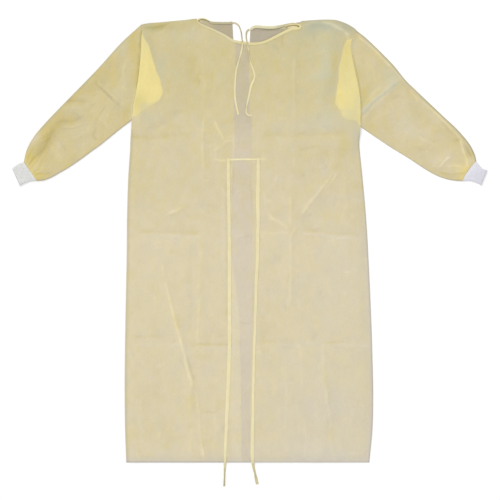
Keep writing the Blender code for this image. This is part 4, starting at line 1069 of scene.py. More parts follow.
def front_tone(x, y, tone, from_left, from_right, from_top, armhole_edge):
    """Adds the front's shades of light, gold and blue. Returns its band and tuck distances."""
    light, gold, blue = np.moveaxis(tone, -1, 0)
    tone += shade_fields(x, y, FRONT_SHADES)
    towards_top = column(TOP_GRADIENT, y)
    light += TOP_GRADIENT_LIGHT * towards_top
    gold += TOP_GRADIENT_GOLD * towards_top
    blue += 0.10 * smooth_step(-50, 200, x) * (1 + smooth_step(-300, -420, y))
    # side seams below the armholes, hem and shoulders: painted shade along these edges,
    # where the cloth turns down, with golden and bluer tints near them
    hem = y - HEM_Y
    above = 60 * smooth_step(280, 330, y)
    ends = np.minimum(hem, from_top)
    border = np.minimum(np.minimum(from_left, from_right) + above, ends)
    light -= 0.14 * line_at(from_left + above - 3.2, 3.6) + 0.08 * line_at(from_right + above - 2.0, 2.4)
    light -= 0.14 * line_at(ends, 2.6) + 0.010 * fading(border, 16)
    light -= (0.15 - 0.13 * smooth_step(-100, 60, x)) * line_at(hem, 2.4)
    gold += 0.10 * fading(border, 20)
    blue += 0.8 * fading(from_right, 10) * smooth_step(120, -60, y) + 0.50 * fading(border, 2.5)
    blue += 0.90 * fading(hem, 12)
    # the sleeve ends that show through
    left_edge = x_at(OPENINGS[-1], y)
    band = np.maximum(left_edge + 5 * smooth_step(400, 450, y) - x, x - x_at(OPENINGS[1], y))
    tuck = np.minimum(*(inside_distance(x, y, TUCKS[side], [(side * 400, low), (side * 400, high)])
                        for side, low, high in ((-1, 300, 560), (1, 290, 545))))
    in_tuck = smooth_step(1.5, -1.5, tuck)
    keep = in_tuck[..., None]
    tone[:] = tone * (1 - keep) + keep * (shade_fields(x, y, TUCK_SHADES) + 0.4 * tone * [1, 0, 0])
    # painted shadow round the borders of the tucked sleeve ends
    light -= 0.022 * fading(np.maximum(tuck, 0), 5) * (1 - in_tuck) * (tuck < 60)
    # the left back's edge, its folded hem and the open middle
    beside = left_edge - x
    flap = smooth_step(-1, 1, beside) * smooth_step(29, 23, beside) * smooth_step(200, 60, y)
    light += 0.036 * flap
    blue += (0.12 + 0.14 * smooth_step(-300, -240, y)) * flap
    light += 0.045 * fading(np.abs(beside), 1.6) * smooth_step(-10, -50, y) * smooth_step(-290, -240, y)
    light -= 0.020 * fading(np.abs(band), 1.5) * smooth_step(250, 200, y)
    light -= 0.022 * smooth_step(1, -1, band) * smooth_step(-250, -290, y)
    # painted highlight on the front's raised edge along the armholes
    light += 0.03 * line_at(armhole_edge, 3.4)
    between_ties = smooth_step(1.5, -1.5, band) * smooth_step(230, 330, y)
    light -= (0.090 + 0.010 * smooth_step(440, 480, y)) * between_ties
    gold -= 0.18 * between_ties
    return band, tuck


def make_front(mat):
    """Front panel: fine creases over the broad folds, edges rolled down to the floor."""
    height_mid = TIP_LEFT_Y - HEM_Y
    share = even_steps(FRONT_WIDTH, FRONT_EDGE, FRONT_PITCH) / FRONT_WIDTH
    rows = HEM_Y + even_steps(height_mid, FRONT_EDGE, FRONT_PITCH)
    rows_right = HEM_Y + (rows - HEM_Y) / height_mid * (TIP_RIGHT_Y - HEM_Y)
    left, right = (np.stack([x_at(SIDES[side], at), at], axis=-1)[:, None]
                   for side, at in ((-1, rows), (1, rows_right)))
    top = np.where((share <= TOP_LEFT)[:, None], stretch(SHOULDERS[-1], share, 0, TOP_LEFT),
                   np.where((share < TOP_RIGHT)[:, None], stretch(NECK_FRONT, share, TOP_LEFT, TOP_RIGHT),
                            stretch(SHOULDERS[1], share, TOP_RIGHT, 1)))
    x, y = panel_plan(rows, TIP_LEFT_Y, share, left, right, top, left[-1:])
    width = (right - left)[..., 0]
    from_left, from_right = share[None] * width, (1 - share[None]) * width
    off_shoulder = ((share > TOP_LEFT) & (share < TOP_RIGHT))[None]
    from_top = (TIP_LEFT_Y - rows)[:, None] + 0 * x
    below_left = (ARMHOLES[-1][0][0] - rows)[:, None]
    below_right = (ARMHOLES[1][0][0] - rows_right)[:, None]
    from_side = np.minimum(from_left, from_right)
    neck_ends = np.minimum(*[np.hypot(x - NECKLINE_FRONT[k][0], y - NECKLINE_FRONT[k][1]) for k in (0, -1)])
    weight_top = ~off_shoulder * smooth_step(22, 50, from_side) * smooth_step(10, 30, neck_ends)
    neck = np.full(x.shape, 200.0)
    close = y > 440
    neck[close] = segment_distance(x[close], y[close], NECKLINE_FRONT)[0]

    strewn = small_creases(330, 11, (-320, 315), (-570, 560))
    fine, tone = crease_fields(x - LIGHT_SHIFT[0], y - LIGHT_SHIFT[1], FRONT_CREASES + strewn, 100)
    tone += mottle(x, y, 21)
    hem = y - HEM_Y
    fade = smooth_step(2, 26, from_side) * smooth_step(12, 34, neck) * smooth_step(0, 20, hem)
    loose = (LOOSE_LIFT + FOLD_SHARE * fold_relief(x, y, BODY_FOLDS)) * fade
    small = smooth_step(0, 9, from_side) * smooth_step(7, 13, neck)
    small = small * smooth_step(-2, 9, hem) * smooth_step(1, 8, from_top + 40 * off_shoulder)
    hem_wave = HEM_WAVE * cloud(x, 0 * y, HEM_WAVE_LENGTH, 77)
    hem_wave = hem_wave * smooth_step(26, 0, hem) * smooth_step(6, 30, from_side)
    lift = np.maximum(NECK_LIFT * smooth_step(34, 12, neck), tuck_lift(x, y))
    height = FRONT_UNDER + np.maximum(0.0, loose) + lift + WALL + (rumple(x, y, 7, 0.55) + fine) * small
    height = np.maximum(height + np.maximum(hem_wave, 0), FRONT_UNDER + LEAST_HEIGHT)
    armhole_edge = np.minimum(from_left + FAR * (1 - smooth_step(-12, 6, -below_left)),
                              from_right + FAR * (1 - smooth_step(-12, 6, -below_right)))
    kept_l, kept_r = (roll(d, smooth_step(12, 40, below))
                      for d, below in ((from_left, below_left), (from_right, below_right)))
    kept_t = roll(from_top, weight_top)
    kept = kept_l * kept_r * kept_t
    height = (height - GROOVE * line_at(armhole_edge, GROOVE_WIDTH)) * kept
    outer = np.stack([x, y, height], axis=-1)

    inner = outer[::STEP, ::STEP].copy()
    inner[..., 0] += RIM_INSET * (kept_r - kept_l)[::STEP, ::STEP]
    inner[..., 1] -= RIM_INSET * (1 - kept_t)[::STEP, ::STEP]
    drop = kept[::STEP, ::STEP]
    beneath = np.where(drop > 0.999, lowest_nearby(height) - CLOTH, inner[..., 2] - CLOTH * drop)
    inner[..., 2] = np.maximum(0.0, beneath)
    band, tuck = front_tone(x, y, tone, from_left, from_right, from_top + 200 * off_shoulder, armhole_edge)
    zone = np.stack([band, tuck / (1 + 7 * smooth_step(400, 350, y)), 0 * x], axis=-1)
    return shell("front_panel", outer, inner, STEP, mat, {"tone": tone, "zone": zone})


# -------------------------------------------------------------------- back panels
BACK_PITCH = 4.2
BACK_WIDTH = 310
BACK_NECK_SHARE = 0.52   # share across where the shoulder meets the neckline
BACK_NECK_DARK = 0.255   # how much the neck opening's shadow takes off the backs' light
BACK_NECK_GOLD = {-1: 0.20, 1: 0.42}
STREWN_SHARE = 0.5       # of a small crease's height
PRESSED_WAVE = 0.12      # height and length of the cloth's waves on the floor
PRESSED_LENGTH = 38
PRESSED_MOST = 0.6


def make_back(name, side, mat):
    """Back panel on the floor, its creases pressed up from below."""
    shoulder = smooth_path(SHOULDER[side] if side < 0 else SHOULDER[side][:0:-1])
    neck = smooth_path(NECKLINE_BACK[side][::-side])
    tip_y = shoulder[0][1] - 2 * BACK_INSET
    rows = np.linspace(HEM_Y + HEM_INSET, tip_y, round((tip_y - HEM_Y) / BACK_PITCH))
    share = np.linspace(0, 1, round(BACK_WIDTH / BACK_PITCH))
    edge = np.stack([x_at(SIDES[side], rows) - side * BACK_INSET, rows], axis=-1)[:, None]
    tip = np.array([x_at(SIDES[side], tip_y) - side * 2 * BACK_INSET, tip_y])
    open_y = rows[0] + (rows - rows[0]) / (tip_y - rows[0]) * (OPENING[side][-1][1] - rows[0])
    middle = np.stack([x_at(OPENINGS[side], open_y), open_y], axis=-1)[:, None]
    top = np.where((share <= BACK_NECK_SHARE)[:, None],
                   stretch(shoulder, share, 0, BACK_NECK_SHARE) - [0, BACK_INSET],
                   stretch(neck, share, BACK_NECK_SHARE, 1))
    top[0] = tip
    x, y = panel_plan(rows, tip_y, share, edge, middle, top, tip)
    strewn = small_creases(120, 50 + side, (min(0, side * 320), max(0, side * 320)), (-570, 520))
    strewn = [(STREWN_SHARE * height, *rest) for height, *rest in strewn]
    fine, tone = crease_fields(x, y, BACK_CREASES[side] + strewn, 300 + side)
    waves = PRESSED_WAVE * np.maximum(0, cloud(x, y, PRESSED_LENGTH, 310 + side))
    low = np.clip(np.abs(fine) + waves, 0, PRESSED_MOST)
    towards_top = column(TOP_GRADIENT, y)[..., None]
    tone += mottle(x, y, 700 + side) + towards_top * [TOP_GRADIENT_LIGHT, TOP_GRADIENT_GOLD, 0.0]
    shadow = smooth_step(495, 520, y)[..., None] * [BACK_NECK_DARK, BACK_NECK_GOLD[side], 0.0]
    tone_top = tone - shadow + shade_fields(x, y, BACK_PAINTED_LIGHT[side])
    rim = np.minimum(np.minimum(share, 1 - share)[None] * BACK_WIDTH, y - HEM_Y)
    tone += np.stack([-0.03 * fading(rim, 4), 0.2 * fading(rim, 20), 0 * rim], axis=-1)
    outer, inner = (np.stack([x, y, z], axis=-1) for z in (low + CLOTH, low))
    return shell(name, outer, inner, 1, mat, {"tone": (tone_top, tone)})


# ------------------------------------------------------------------------- sleeves
SLEEVE_COLS = 121
SLEEVE_ROWS = 212
TUCK_ROWS = 12
SLEEVE_SPACE = 0.6
WRIST_SPACE = 2.6
TUCK_SPACE = 0.3
SEAM_EASE = 0.6
WRIST_REACH = (0.8, 1.0)
SEAM_REACH = (0.02, 0.12)
SLEEVE_LENGTH = 430
SLEEVE_FOLD_SHARE = 0.6
LEAST_RISE = 1.8         # of a sleeve's top over its underside
ROUNDING = 2.2           # how far a sleeve's rounded edge reaches, in half thicknesses
UNDER_WAVE = 0.28        # height and length of the underside's waves
UNDER_LENGTH = 26
UNDER_MOST = 1.1
INNER_PULL = 0.7         # how far the inner wall draws in at the edges, and over what distance
PULL_REACH = 3.0
LEAST_GAP = 0.02         # between the inner walls
GATHERS = [              # place across (0 upper edge to 1), how far they run (mm), height, width (share)
    (0.05, 34, 0.7, 0.036), (0.13, 52, 0.9, 0.039), (0.20, 26, 0.55, 0.029), (0.27, 44, 0.85, 0.036),
    (0.35, 30, 0.65, 0.031), (0.42, 58, 0.95, 0.042), (0.51, 28, 0.6, 0.031), (0.58, 40, 0.8, 0.036),
    (0.66, 24, 0.55, 0.029), (0.73, 50, 0.9, 0.039), (0.81, 32, 0.7, 0.034), (0.88, 46, 0.75, 0.036),
    (0.95, 26, 0.6, 0.031),
]


def cuff_seam(side):
    return np.array([SLEEVE_UPPER[side][-1], SLEEVE_LOWER[side][-1]], dtype=float)


def wrist_line(side, u):
    """The cuff's seam from its upper end to its lower one."""
    ends = cuff_seam(side)
    across = np.array([ends[0][1] - ends[1][1], ends[1][0] - ends[0][0]]) / np.hypot(*(ends[0] - ends[1]))
    bow = side * np.abs(across) * [1, -1] * (WRIST_BOW[side] * 4 * u * (1 - u))[:, None]
    return np.outer(1 - u, ends[0]) + np.outer(u, ends[1]) - bow


def ring(top, low):
    """One grid round a tube, from the grids of its upper and its under side."""
    return np.concatenate([top, low[:, -2:0:-1]], axis=1)


def ring_columns(count):
    """The coarse ring's columns in the upper side's grid, and which of them lie above."""
    columns = np.concatenate([np.arange(count), np.arange(count)[-2:0:-1]])[::STEP]
    return columns, np.arange(2 * count - 2)[::STEP] < count


def sleeve_tone(side, tone, edge, run, length, wrist, pleats, painted_seam_shadow):
    """Adds the shades of a sleeve's upper side: painted shade along its edges and beside the
    armhole seam, its seam allowance, and painted highlights on the gathers.
    """
    light, gold, blue = np.moveaxis(tone, -1, 0)
    allowance, pale, dark = SEAM_ALLOWANCE[side]
    on_allowance = smooth_step(allowance + 1, allowance - 1, run)
    light += SLEEVE_LIGHT[side] - 0.006 * fading(edge, 14)
    # painted shade along the upper and lower edges, where the tube turns under
    light -= 0.22 * line_at(run - 2.0, 2.2) + 0.13 * line_at(length - run, 2.4)
    light += pale * on_allowance * smooth_step(0.5, 2.5, run) - dark * line_at(run - allowance - 2, 1.7)
    # lighter near the wrist, with painted highlights on the gathers and painted shade between them; a painted
    # shadow beside the armhole seam, under the front's raised edge
    light += (0.03 + 0.030 * (pleats - 0.45)) * smooth_step(38, 0, wrist) - 0.045 * painted_seam_shadow
    gold += SLEEVE_GOLD[side] + 0.05 * fading(edge, 14) - 0.10 * on_allowance
    gold += WRIST_GOLD[side] * smooth_step(60, 0, wrist)
    blue += 0.5 * fading(edge, 2.5)


def make_sleeve(name, side, mat):
    """Sleeve: a flattened tube with gathers at the wrist, its end tucked in the body."""
    t = np.linspace(0, 1, SLEEVE_COLS)
    u = 0.5 - 0.5 * np.cos(math.pi * t) * (0.55 + 0.45 * np.abs(2 * t - 1))
    u = (u - u[0]) / (u[-1] - u[0])
    lead = TUCK_ROWS + -(TUCK_ROWS + SLEEVE_ROWS) % STEP
    stations = np.concatenate([np.arange(-lead, 0) / TUCK_ROWS, np.linspace(0, 1, SLEEVE_ROWS + 1)])
    seam_line = along(smooth_path(SEAMS[side][::-1]), u)
    cuff_line = wrist_line(side, u)
    v = np.clip(stations, 0, 1)[:, None, None]
    uu = u[None, :, None]
    upper, lower = (along(smooth_path(points[side]), v[:, 0, 0])[:, None]
                    for points in (SLEEVE_UPPER, SLEEVE_LOWER))
    ruled = (1 - v) * seam_line + v * cuff_line + (1 - uu) * upper + uu * lower
    corners = ((1 - uu) * (1 - v) * seam_line[0] + uu * (1 - v) * seam_line[-1]
               + (1 - uu) * v * cuff_line[0] + uu * v * cuff_line[-1])
    tucked = np.stack([-side * tuck_depth(seam_line[:, 1], side), 0 * u], axis=-1)
    plan = ruled - corners + tucked[None] * np.clip(-stations, 0, 1)[:, None, None]
    x, y = plan[..., 0], plan[..., 1]
    steps = np.hypot(np.diff(x, axis=1), np.diff(y, axis=1))
    run = np.concatenate([np.zeros((len(stations), 1)), np.cumsum(steps, axis=1)], axis=1)
    length = run[:, -1:]
    edge = np.minimum(run, length - run)
    near_edge = smooth_step(0, 5, edge)
    vv = v[:, :, 0] + 0 * x
    outside = stations[:, None] > 0
    wrist = np.hypot(x - cuff_line[None, :, 0], y - cuff_line[None, :, 1])

    space = SLEEVE_SPACE + (WRIST_SPACE - SLEEVE_SPACE) * smooth_step(*WRIST_REACH, vv)
    space = np.where(outside, space + SEAM_EASE * (1 - smooth_step(*SEAM_REACH, vv)), TUCK_SPACE)
    floor_z = TUCK_UNDER * np.where(outside, 1 - smooth_step(0.0, 0.02, vv), 1)
    cuff_x, tip_x = SLEEVE_LOWER[side][-1][0], SLEEVE_UPPER[side][0][0]
    strewn = small_creases(70, 30 + side, (min(cuff_x, tip_x), max(cuff_x, tip_x)), (160, 540))
    fine, tone = crease_fields(x, y, SLEEVE_CREASES[side] + strewn, 500 + side)
    tone += mottle(x, y, 600 + side) + shade_fields(x, y, SLEEVE_SHADES[side])
    broad = np.maximum(0, SLEEVE_FOLD_SHARE * fold_relief(x, y, SLEEVE_FOLDS[side]))
    broad = broad * smooth_step(0, 22, edge) * smooth_step(*SEAM_REACH, vv)
    broad = broad * (1 - 0.6 * smooth_step(0.84, 0.97, vv))
    pleats = np.zeros(x.shape)
    for k, (across, reach, high, width) in enumerate(GATHERS):
        drift = 0.012 * np.sin(wrist / 11 + 2.0 * k) * smooth_step(0, 40, wrist)
        fold = high * line_at(u[None] - across - drift, width * (1 + wrist / 90))
        pleats += fold * smooth_step(reach, 0.25 * reach, wrist)
    wavy = rumple(x, y, 520 + side, 0.6) * smooth_step(0, 0.06, vv)
    rise = np.maximum(LEAST_RISE, 2 * WALL + space + broad + (wavy + fine + pleats * outside) * near_edge)
    radius = 0.5 * (2 * WALL + space)
    bulge = np.sqrt(1 - (1 - np.clip(edge / (ROUNDING * radius), 0, 1)) ** 2)
    middle = floor_z + radius
    top_z = middle + (floor_z + rise - middle) * bulge
    pressed = np.abs(crease_fields(x * side, y - 14, SLEEVE_CREASES[side][:12], 560 + side)[0]) * 0.35
    waves = UNDER_WAVE * np.abs(cloud(x, y, UNDER_LENGTH, 540 + side))
    under = np.clip(waves + 0.5 * pleats + pressed, 0, UNDER_MOST)
    under = under * near_edge * outside * smooth_step(0.03, 0.1, vv)
    low_z = middle - (middle - floor_z - under) * bulge
    outer = ring(*(np.stack([x, y, z], axis=-1) for z in (top_z, low_z)))

    sleeve_tone(side, tone, edge, run, length, wrist, pleats, fading(vv * SLEEVE_LENGTH, 3.0) * outside)
    under_light = SLEEVE_LIGHT[side] - 0.04 * fading(edge, 3) + 0.02 * under
    under_gold = SLEEVE_GOLD[side] + 0.2 * fading(edge, 18) + 0.16 * smooth_step(46, 0, wrist)
    under_tone = np.stack([under_light, under_gold, 0 * x], axis=-1)
    inner = outer[::STEP, ::STEP].copy()
    columns, is_top = ring_columns(SLEEVE_COLS)
    edge_c, middle_c = edge[::STEP][:, columns], middle[::STEP][:, columns]
    spine = np.stack([x[::STEP, SLEEVE_COLS // 2], y[::STEP, SLEEVE_COLS // 2]], axis=-1)
    towards = spine[:, None] - inner[..., :2]
    towards /= np.maximum(1e-6, np.hypot(towards[..., 0], towards[..., 1]))[..., None]
    inner[..., :2] += towards * (np.clip(1 - edge_c / PULL_REACH, 0, 1) * INNER_PULL)[..., None]
    pick = columns // STEP
    z_top = lowest_nearby(top_z)[:, pick] - CLOTH
    z_low = -lowest_nearby(-low_z)[:, pick] + CLOTH
    z_low = np.minimum(z_low, middle_c - LEAST_GAP)
    inner[..., 2] = np.where(is_top[None], np.maximum(z_top, middle_c), z_low)
    return shell(name, outer, inner, STEP, mat, {"tone": ring(tone, under_tone)}, tube=True)


# --------------------------------------------------------------------------- cuffs
CUFF_HEIGHT = 5.6
CUFF_SWELL = [(0.0, 0.0), (0.5, 0.4), (1.0, -0.8)]     # share of length, extra height
CUFF_RIBS = 30
RIB_HEIGHT = 0.45
CUFF_ROWS = 29
POINTS_A_RIB = 6
CUFF_WALL = 1.4
CUFF_ROUNDING = 1.5      # how far its rounded edge reaches, in half heights
UNDER_RIB = 0.25
LOOP_HEIGHT = 0.10
LOOP_ROWS = 14
WOBBLE = 0.25
MOUTH_FALL = 0.5         # how far the mouth's edge falls
CUFF_PULL = 1.2          # how far the inner wall draws in at the edges, and over what distance
CUFF_PULL_REACH = 4.0
CUFF_BOW = {-1: (2.9, 5.0), 1: (-5.5, 5.4)}            # how far its upper and lower edges bend up


def make_cuff(name, side, mat):
    """Rib-knit cuff: ribs raised all round a flattened tube, its mouth open."""
    end = np.array(CUFF_END[side], dtype=float)
    reach = (end - cuff_seam(side)).mean(axis=0)
    half = CUFF_RIBS * POINTS_A_RIB + 1
    u, v = np.linspace(0, 1, half), np.linspace(0, 1, CUFF_ROWS)
    vv = v[:, None, None]
    line = (1 - vv) * (wrist_line(side, u) + reach * (GAP / np.hypot(*reach)))[None]
    line = line + vv * ((1 - u[:, None]) * end[0] + u[:, None] * end[1])[None]
    line[..., 1] += 4 * (v * (1 - v))[:, None] * ((1 - u) * CUFF_BOW[side][0] + u * CUFF_BOW[side][1])[None]
    width = np.hypot(*(line[:, -1] - line[:, 0]).T)[:, None]
    run = u[None] * width
    edge = np.minimum(run, width - run)
    radius = (CUFF_HEIGHT + column(CUFF_SWELL, v)[:, None] + 0 * run) / 2
    bulge = np.sqrt(1 - (1 - np.clip(edge / (CUFF_ROUNDING * radius), 0, 1)) ** 2)
    phase = u[None] * CUFF_RIBS
    rib = np.abs(np.sin(math.pi * phase)) ** 0.7 + 0 * run
    loops = LOOP_HEIGHT * np.sin(math.tau * v * LOOP_ROWS)[:, None] * rib
    wobble = WOBBLE * cloud(line[..., 0], line[..., 1], 9, 900)
    fall = MOUTH_FALL * smooth_step(0.94, 1.0, v)[:, None]
    top = radius + (radius - RIB_HEIGHT * (1 - rib) + loops + wobble - fall - 0.2) * bulge
    low = radius - (radius - UNDER_RIB * (1 - rib)) * bulge
    outer = ring(*(np.concatenate([line, z[..., None]], axis=-1) for z in (top, low)))
    columns, is_top = ring_columns(half)
    inner = outer[::STEP, ::STEP].copy()
    coarse_edge, coarse_run, centre, round_off = (grid[::STEP][:, columns]
                                                  for grid in (edge, run, radius, bulge))
    inwards = np.where(coarse_run < width[::STEP] / 2, 1.0, -1.0)
    inset = np.clip(1 - coarse_edge / CUFF_PULL_REACH, 0, 1) * CUFF_PULL * inwards
    direction = (line[::STEP, -1] - line[::STEP, 0]) / width[::STEP]
    inner[..., :2] += direction[:, None] * inset[..., None]
    z_top = np.maximum(centre + (centre - RIB_HEIGHT - 0.5) * round_off - CUFF_WALL, centre)
    z_low = np.minimum(centre - (centre - 0.3) * round_off + CUFF_WALL, centre - LEAST_GAP)
    inner[..., 2] = np.where(is_top[None], z_top, z_low)
    knit = np.stack([phase + 0 * run, (v * 20)[:, None] + 0 * run, rib], axis=-1)
    return shell(name, outer, inner, STEP, mat, {"knit": ring(knit, knit)}, tube=True)


# ---------------------------------------------------------------- tapes and stitches
STRIP_PITCH = 2.2
SINK = 0.12              # how far a tape may settle into what is below it
SMOOTHED_OVER = 9        # steps
WANDER = 0.35            # how far a tape strays to the sides, in long waves and short ones
RIPPLE = 0.15
STITCH_SINK = 0.1
STRIP_THICK = 0.4
BELT_SHOWN = 0.53        # share of the belt's width that shows
STRIP_PROFILE = [        # share of the half width, share of the thickness
    (-1.0, 0.4), (-0.96, 0.08), (-0.8, 0.0), (0.0, 0.04), (0.8, 0.0), (0.96, 0.08), (1.0, 0.4),
    (0.93, 0.9), (0.62, 1.0), (0.18, 0.93), (0.0, 0.78), (-0.18, 0.93), (-0.62, 1.0), (-0.93, 0.9),
]
LEVEL = [(0, 0)]
FULL = [(0, 1)]


def loft(name, sections, mat, tones, sharp=60):
    """A closed bar through matching sections, capped at both ends."""
    rows, cols = sections.shape[:2]
    faces = [(i * cols + j, i * cols + (j + 1) % cols, (i + 1) * cols + (j + 1) % cols, (i + 1) * cols + j)
             for i in range(rows - 1) for j in range(cols)]
    faces += [tuple(range(cols)), tuple(range((rows - 1) * cols, rows * cols))[::-1]]
    tone = np.repeat(tones[:, None], cols, axis=1).reshape(-1, 3)
    return add_mesh(name, sections.reshape(-1, 3), faces, mat, {"tone": tone}, sharp)


def strip(name, route, width, trees, mat, tones, twists=LEVEL, widths=FULL, lift=0.06):
    """A folded tape laid along a route on what is below it.

    twists: share along, degrees turned about its own line. tones: share along,
    light, gold, blue. Returns the piece and its centre line in mm.
    """
    path = smooth_path(route)
    length = distances(path)[-1]
    share = np.linspace(0, 1, round(length / STRIP_PITCH) + 1)
    line = along(path, share)
    normals = edge_directions(line)
    half = width / 2
    under = np.array([max(surface_height(trees, *(p + n * a * half)) for a in (-1, -0.5, 0, 0.5, 1))
                      for p, n in zip(line, normals)])
    for _ in range(2):
        padded = np.pad(under, 1, mode="edge")
        under = np.maximum.reduce([under, padded[2:], padded[:-2]])
    kernel = np.hanning(SMOOTHED_OVER)
    soft = np.convolve(np.pad(under, SMOOTHED_OVER // 2, mode="edge"), kernel / kernel.sum(), mode="valid")
    under = np.maximum(under - SINK, soft)
    turn = np.radians(column(twists, share))
    seed = len(name) * 7
    wander, ripple, swell, dapple = (cloud(share * length, 0 * share, cell, seed + k)
                                     for k, cell in enumerate((23, 8, 15, 12)))
    line = line + normals * (WANDER * wander + RIPPLE * ripple)[:, None]
    wide = half * column(widths, share) * (1 + 0.05 * swell)
    sections = np.zeros((len(line), len(STRIP_PROFILE), 3))
    for k, (a, b) in enumerate(STRIP_PROFILE):
        across, above = a * wide, (b - 0.5) * STRIP_THICK
        tilt = across * np.cos(turn) - above * np.sin(turn)
        sections[:, k, :2] = line + normals * tilt[:, None]
        sections[:, k, 2] = across * np.sin(turn) + above * np.cos(turn)
    centre_z = under + lift - sections[..., 2].min(axis=1)
    sections[..., 2] += centre_z[:, None]
    shades = np.stack([column(tones, share, k) for k in (1, 2, 3)], axis=-1)
    shades[:, 0] += 0.03 * dapple
    return loft(name, sections, mat, shades), np.column_stack([line, centre_z])


def tape_along(name, line, profile, tones, seed, widths, mat):
    """Folded tape with this section, its inner side to the right of the line."""
    normals = edge_directions(line)
    run = distances(line)
    wobble, puff = 0.3 * cloud(run, 0 * run, 11, seed), 0.18 * cloud(run, 0 * run, 7, seed + 1)
    wide = column(widths, run / run[-1])
    sections = np.zeros((len(line), len(profile), 3))
    for k, (inside, z, loose) in enumerate(profile):
        sections[:, k, :2] = line + normals * (inside * wide + loose * wobble)[:, None]
        sections[:, k, 2] = np.maximum(z + loose * puff, 0.0)
    return loft(name, sections, mat, tones(run / run[-1]))


def stitches(name, lines, pitch, size, trees, mat):
    """Rows of thread stitches on the cloth, one joined mesh."""
    verts, faces = [], []
    long, wide, thick = size
    for path in lines:
        count = max(1, round(distances(path)[-1] / pitch))
        centres = along(path, (np.arange(count) + 0.5) / count)
        for p, n in zip(centres, edge_directions(centres)):
            a, b = np.array([-n[1], n[0]]), -n
            z = surface_height(trees, *p) - STITCH_SINK
            base = len(verts)
            verts.append((*(p - a * long / 2), z))
            for shift in (-0.3, 0.3):
                q, w = p + a * long * shift, b * wide / 2
                verts += [(*(q - w), z), (*q, z + thick), (*(q + w), z), (*q, z - thick / 2)]
            verts.append((*(p + a * long / 2), z))
            for j in range(4):
                m = (j + 1) % 4
                faces += [(base, base + 1 + m, base + 1 + j), (base + 9, base + 5 + j, base + 5 + m),
                          (base + 1 + j, base + 1 + m, base + 5 + m, base + 5 + j)]
    return add_mesh(name, verts, faces, mat, None, 70)


def offset_line(line, distance):
    return line + edge_directions(line) * distance


# ------------------------------------------------------------------- neck bindings
U_TAPE = [               # inside of the edge, height, share of the looseness
    (6.3, 4.25, 0.6), (4.4, 4.5, 1.0), (1.6, 4.6, 0.8), (-0.3, 4.5, 0.3), (-1.2, 3.9, 0.2),
    (-1.3, 3.1, 0.2), (-1.2, 2.3, 0.2), (-0.5, 1.7, 0.2), (1.6, 1.5, 0.4), (6.0, 1.5, 0.4),
    (6.0, 1.95, 0.4), (1.6, 1.95, 0.4), (-0.3, 2.2, 0.2), (-0.7, 2.8, 0.1), (-0.6, 3.5, 0.1),
    (-0.1, 3.95, 0.2), (1.6, 4.1, 0.8), (4.4, 4.05, 1.0), (6.3, 3.9, 0.6),
]
L_TAPE = [
    (6.3, 1.95, 0.3), (4.0, 2.2, 0.8), (1.0, 2.3, 0.6), (-0.7, 2.0, 0.2), (-1.25, 1.2, 0.1), (-1.3, 0.0, 0.0),
    (-0.7, 0.0, 0.0), (-0.6, 1.0, 0.0), (0.0, 1.6, 0.1), (1.5, 1.8, 0.5), (4.0, 1.75, 0.8), (6.3, 1.6, 0.3),
]
CURL_WIDTHS = [          # share along, share of the width
    (0, 0.38), (0.09, 0.4), (0.13, 0.62), (0.28, 0.8), (0.42, 1), (0.86, 1), (0.91, 0.5), (1, 0.4),
]
BACK_TAPE_WIDTHS = {-1: [(0, 0.8)], 1: [(0, 1.0), (0.6, 1.0), (0.8, 0.8)]}


def binding_tone(share):
    light = np.interp(share, [0, 0.08, 0.12, 0.18, 0.32, 0.46, 0.54, 0.74, 0.84, 0.90, 0.94, 1],
                      [-0.08, -0.04, -0.06, -0.08, -0.05, -0.05, -0.02, -0.02, -0.03, 0.0, -0.04, -0.10])
    gold = np.interp(share, [0, 0.08, 0.17, 0.36, 0.47, 0.54, 0.70, 0.84, 0.90, 0.94, 1],
                     [0.4, 0.35, 0.2, 0.15, 0.35, 0.5, 0.4, 0.3, 0.5, 0.4, 0.3])
    blue = np.interp(share, [0, 0.1, 0.32, 0.44, 0.9], [0.0, 0.1, 0.25, 0.1, 0.0])
    return np.stack([light, gold, blue], axis=-1)


def right_tape_tone(share):
    """Of the right back's tape, which lies in the front's shadow towards the shoulder."""
    return np.stack([np.interp(share, [0, 0.55, 0.66, 1], [0.03, 0.05, -0.14, -0.22]),
                     np.interp(share, [0, 0.55, 0.66, 1], [0.0, 0.0, 0.3, 0.4]), 0.55 + 0 * share], axis=-1)


def left_tape_tone(share):
    """Of the left back's tape, all of it in the front's shadow."""
    return np.tile([-0.36, 0.0, 0.0], (len(share), 1))


# --------------------------------------------------------------------------- build
BASE = shade(221, 209, 175)
GOLD = shade(211, 194, 118)
BLUES = shade(213, 205, 189), shade(206, 206, 178)     # greener near the shoulders
SINGLE = shade(217, 205, 182)
TAPE_BLUE = shade(206, 206, 176)
SIDE_NAMES = {-1: "left", 1: "right"}


def stand_for(obj, node_name):
    """Hides the CAD node that a piece stands in for, and returns the piece."""
    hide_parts(node_name)
    return obj


def left_and_right(kind, ending, make, mat):
    return {side: stand_for(make(kind + word + ending, side, mat), kind + word)
            for side, word in SIDE_NAMES.items()}


make_studio()
cloth = cloth_material("cloth_front", BASE, GOLD, *BLUES, SINGLE, shade(238, 222, 150))
sleeve_cloth = cloth_material("cloth_sleeves", BASE, shade(213, 194, 117), *BLUES)
back_cloth = cloth_material("cloth_backs", SINGLE, GOLD, *BLUES)
tape_cloth = cloth_material("cloth_tapes", shade(237, 226, 184), shade(222, 208, 126), TAPE_BLUE, TAPE_BLUE,
                            sheen=0.12, body=0.7)
knit_cloth = knit_material("knit_cuffs")
thread = thread_material("thread", shade(240, 230, 186), shade(214, 200, 150))

front = stand_for(make_front(cloth), "front")
backs = left_and_right("back_", "_panel", make_back, back_cloth)
sleeves = left_and_right("sleeve_", "_cloth", make_sleeve, sleeve_cloth)
cuffs = left_and_right("cuff_", "_knit", make_cuff, knit_cloth)

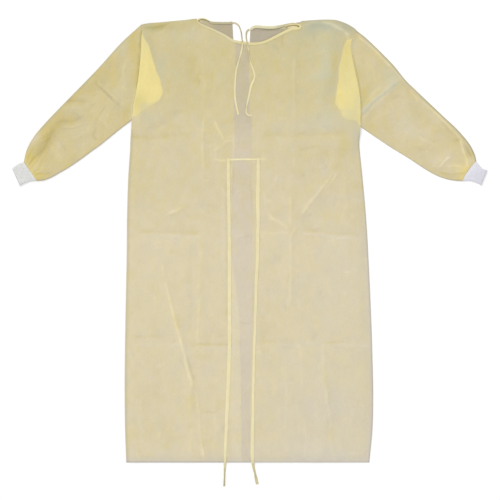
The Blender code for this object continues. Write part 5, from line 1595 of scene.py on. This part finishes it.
neck_line = along(NECK_FRONT, np.linspace(0.0, 1.0, 150) * 0.985 + 0.0075)
curls = {side: along(smooth_path(points), np.linspace(0, 1, 34)) for side, points in CURLS.items()}
front_line = np.concatenate([curls[-1], neck_line[5:-2], curls[1][1:]])
back_lines = {side: along(smooth_path(NECKLINE_BACK[side]), shares)
              for side, shares in ((-1, np.linspace(0.36, 1.0, 60)), (1, np.linspace(0.0, 0.9, 90)))}
BINDINGS = {             # line, profile, tones, seed, widths
    "binding_front": (front_line, U_TAPE, binding_tone, 40, CURL_WIDTHS),
    "binding_back_left": (back_lines[-1], L_TAPE, left_tape_tone, 50, BACK_TAPE_WIDTHS[-1]),
    "binding_back_right": (back_lines[1], L_TAPE, right_tape_tone, 60, BACK_TAPE_WIDTHS[1]),
}
bindings = [stand_for(tape_along(name + "_tape", *row, tape_cloth), name)
            for name, row in BINDINGS.items()]

front_tree, back_trees = tree_of(front), [tree_of(obj) for obj in backs.values()]
binding_trees = [tree_of(obj) for obj in bindings]
belt, _ = strip("waist_belt_tape", BELT_ROUTE, BELT_WIDTH * BELT_SHOWN, [front_tree], tape_cloth, BELT_TONES,
                lift=0.05)
stand_for(belt, "waist_belt")
BELOW = {                # what the ties lie on
    "neck": [front_tree, *binding_trees, *back_trees],
    "waist": [front_tree, tree_of(belt), *back_trees],
}
for name, (route, width, twists, tones, widths) in TIES.items():
    trees = BELOW[name.split("_")[0]]
    obj, centre = strip(name + "_tape", route, width, trees, tape_cloth, tones, twists, widths)
    stand_for(obj, name)

sewn_trees = [front_tree, *(tree_of(obj) for obj in (*sleeves.values(), *cuffs.values())), *binding_trees]
armhole_lines = [offset_line(along(smooth_path(points), np.linspace(0.03, 0.97, 90)), side * 2.6)
                 for side, points in SEAMS.items()]
SEWING = {               # lines, pitch, a stitch's length, width and thickness
    "stitches_neck": ([offset_line(neck_line, 4.9)], 3.2, (2.3, 0.55, 0.35)),
    "stitches_neck_back": ([offset_line(line, 3.8) for line in back_lines.values()], 3.2, (2.3, 0.55, 0.3)),
    "stitches_armholes": (armhole_lines, 3.4, (2.4, 0.5, 0.3)),
}
sewing = {name: stitches(name, *row, sewn_trees, thread) for name, row in SEWING.items()}
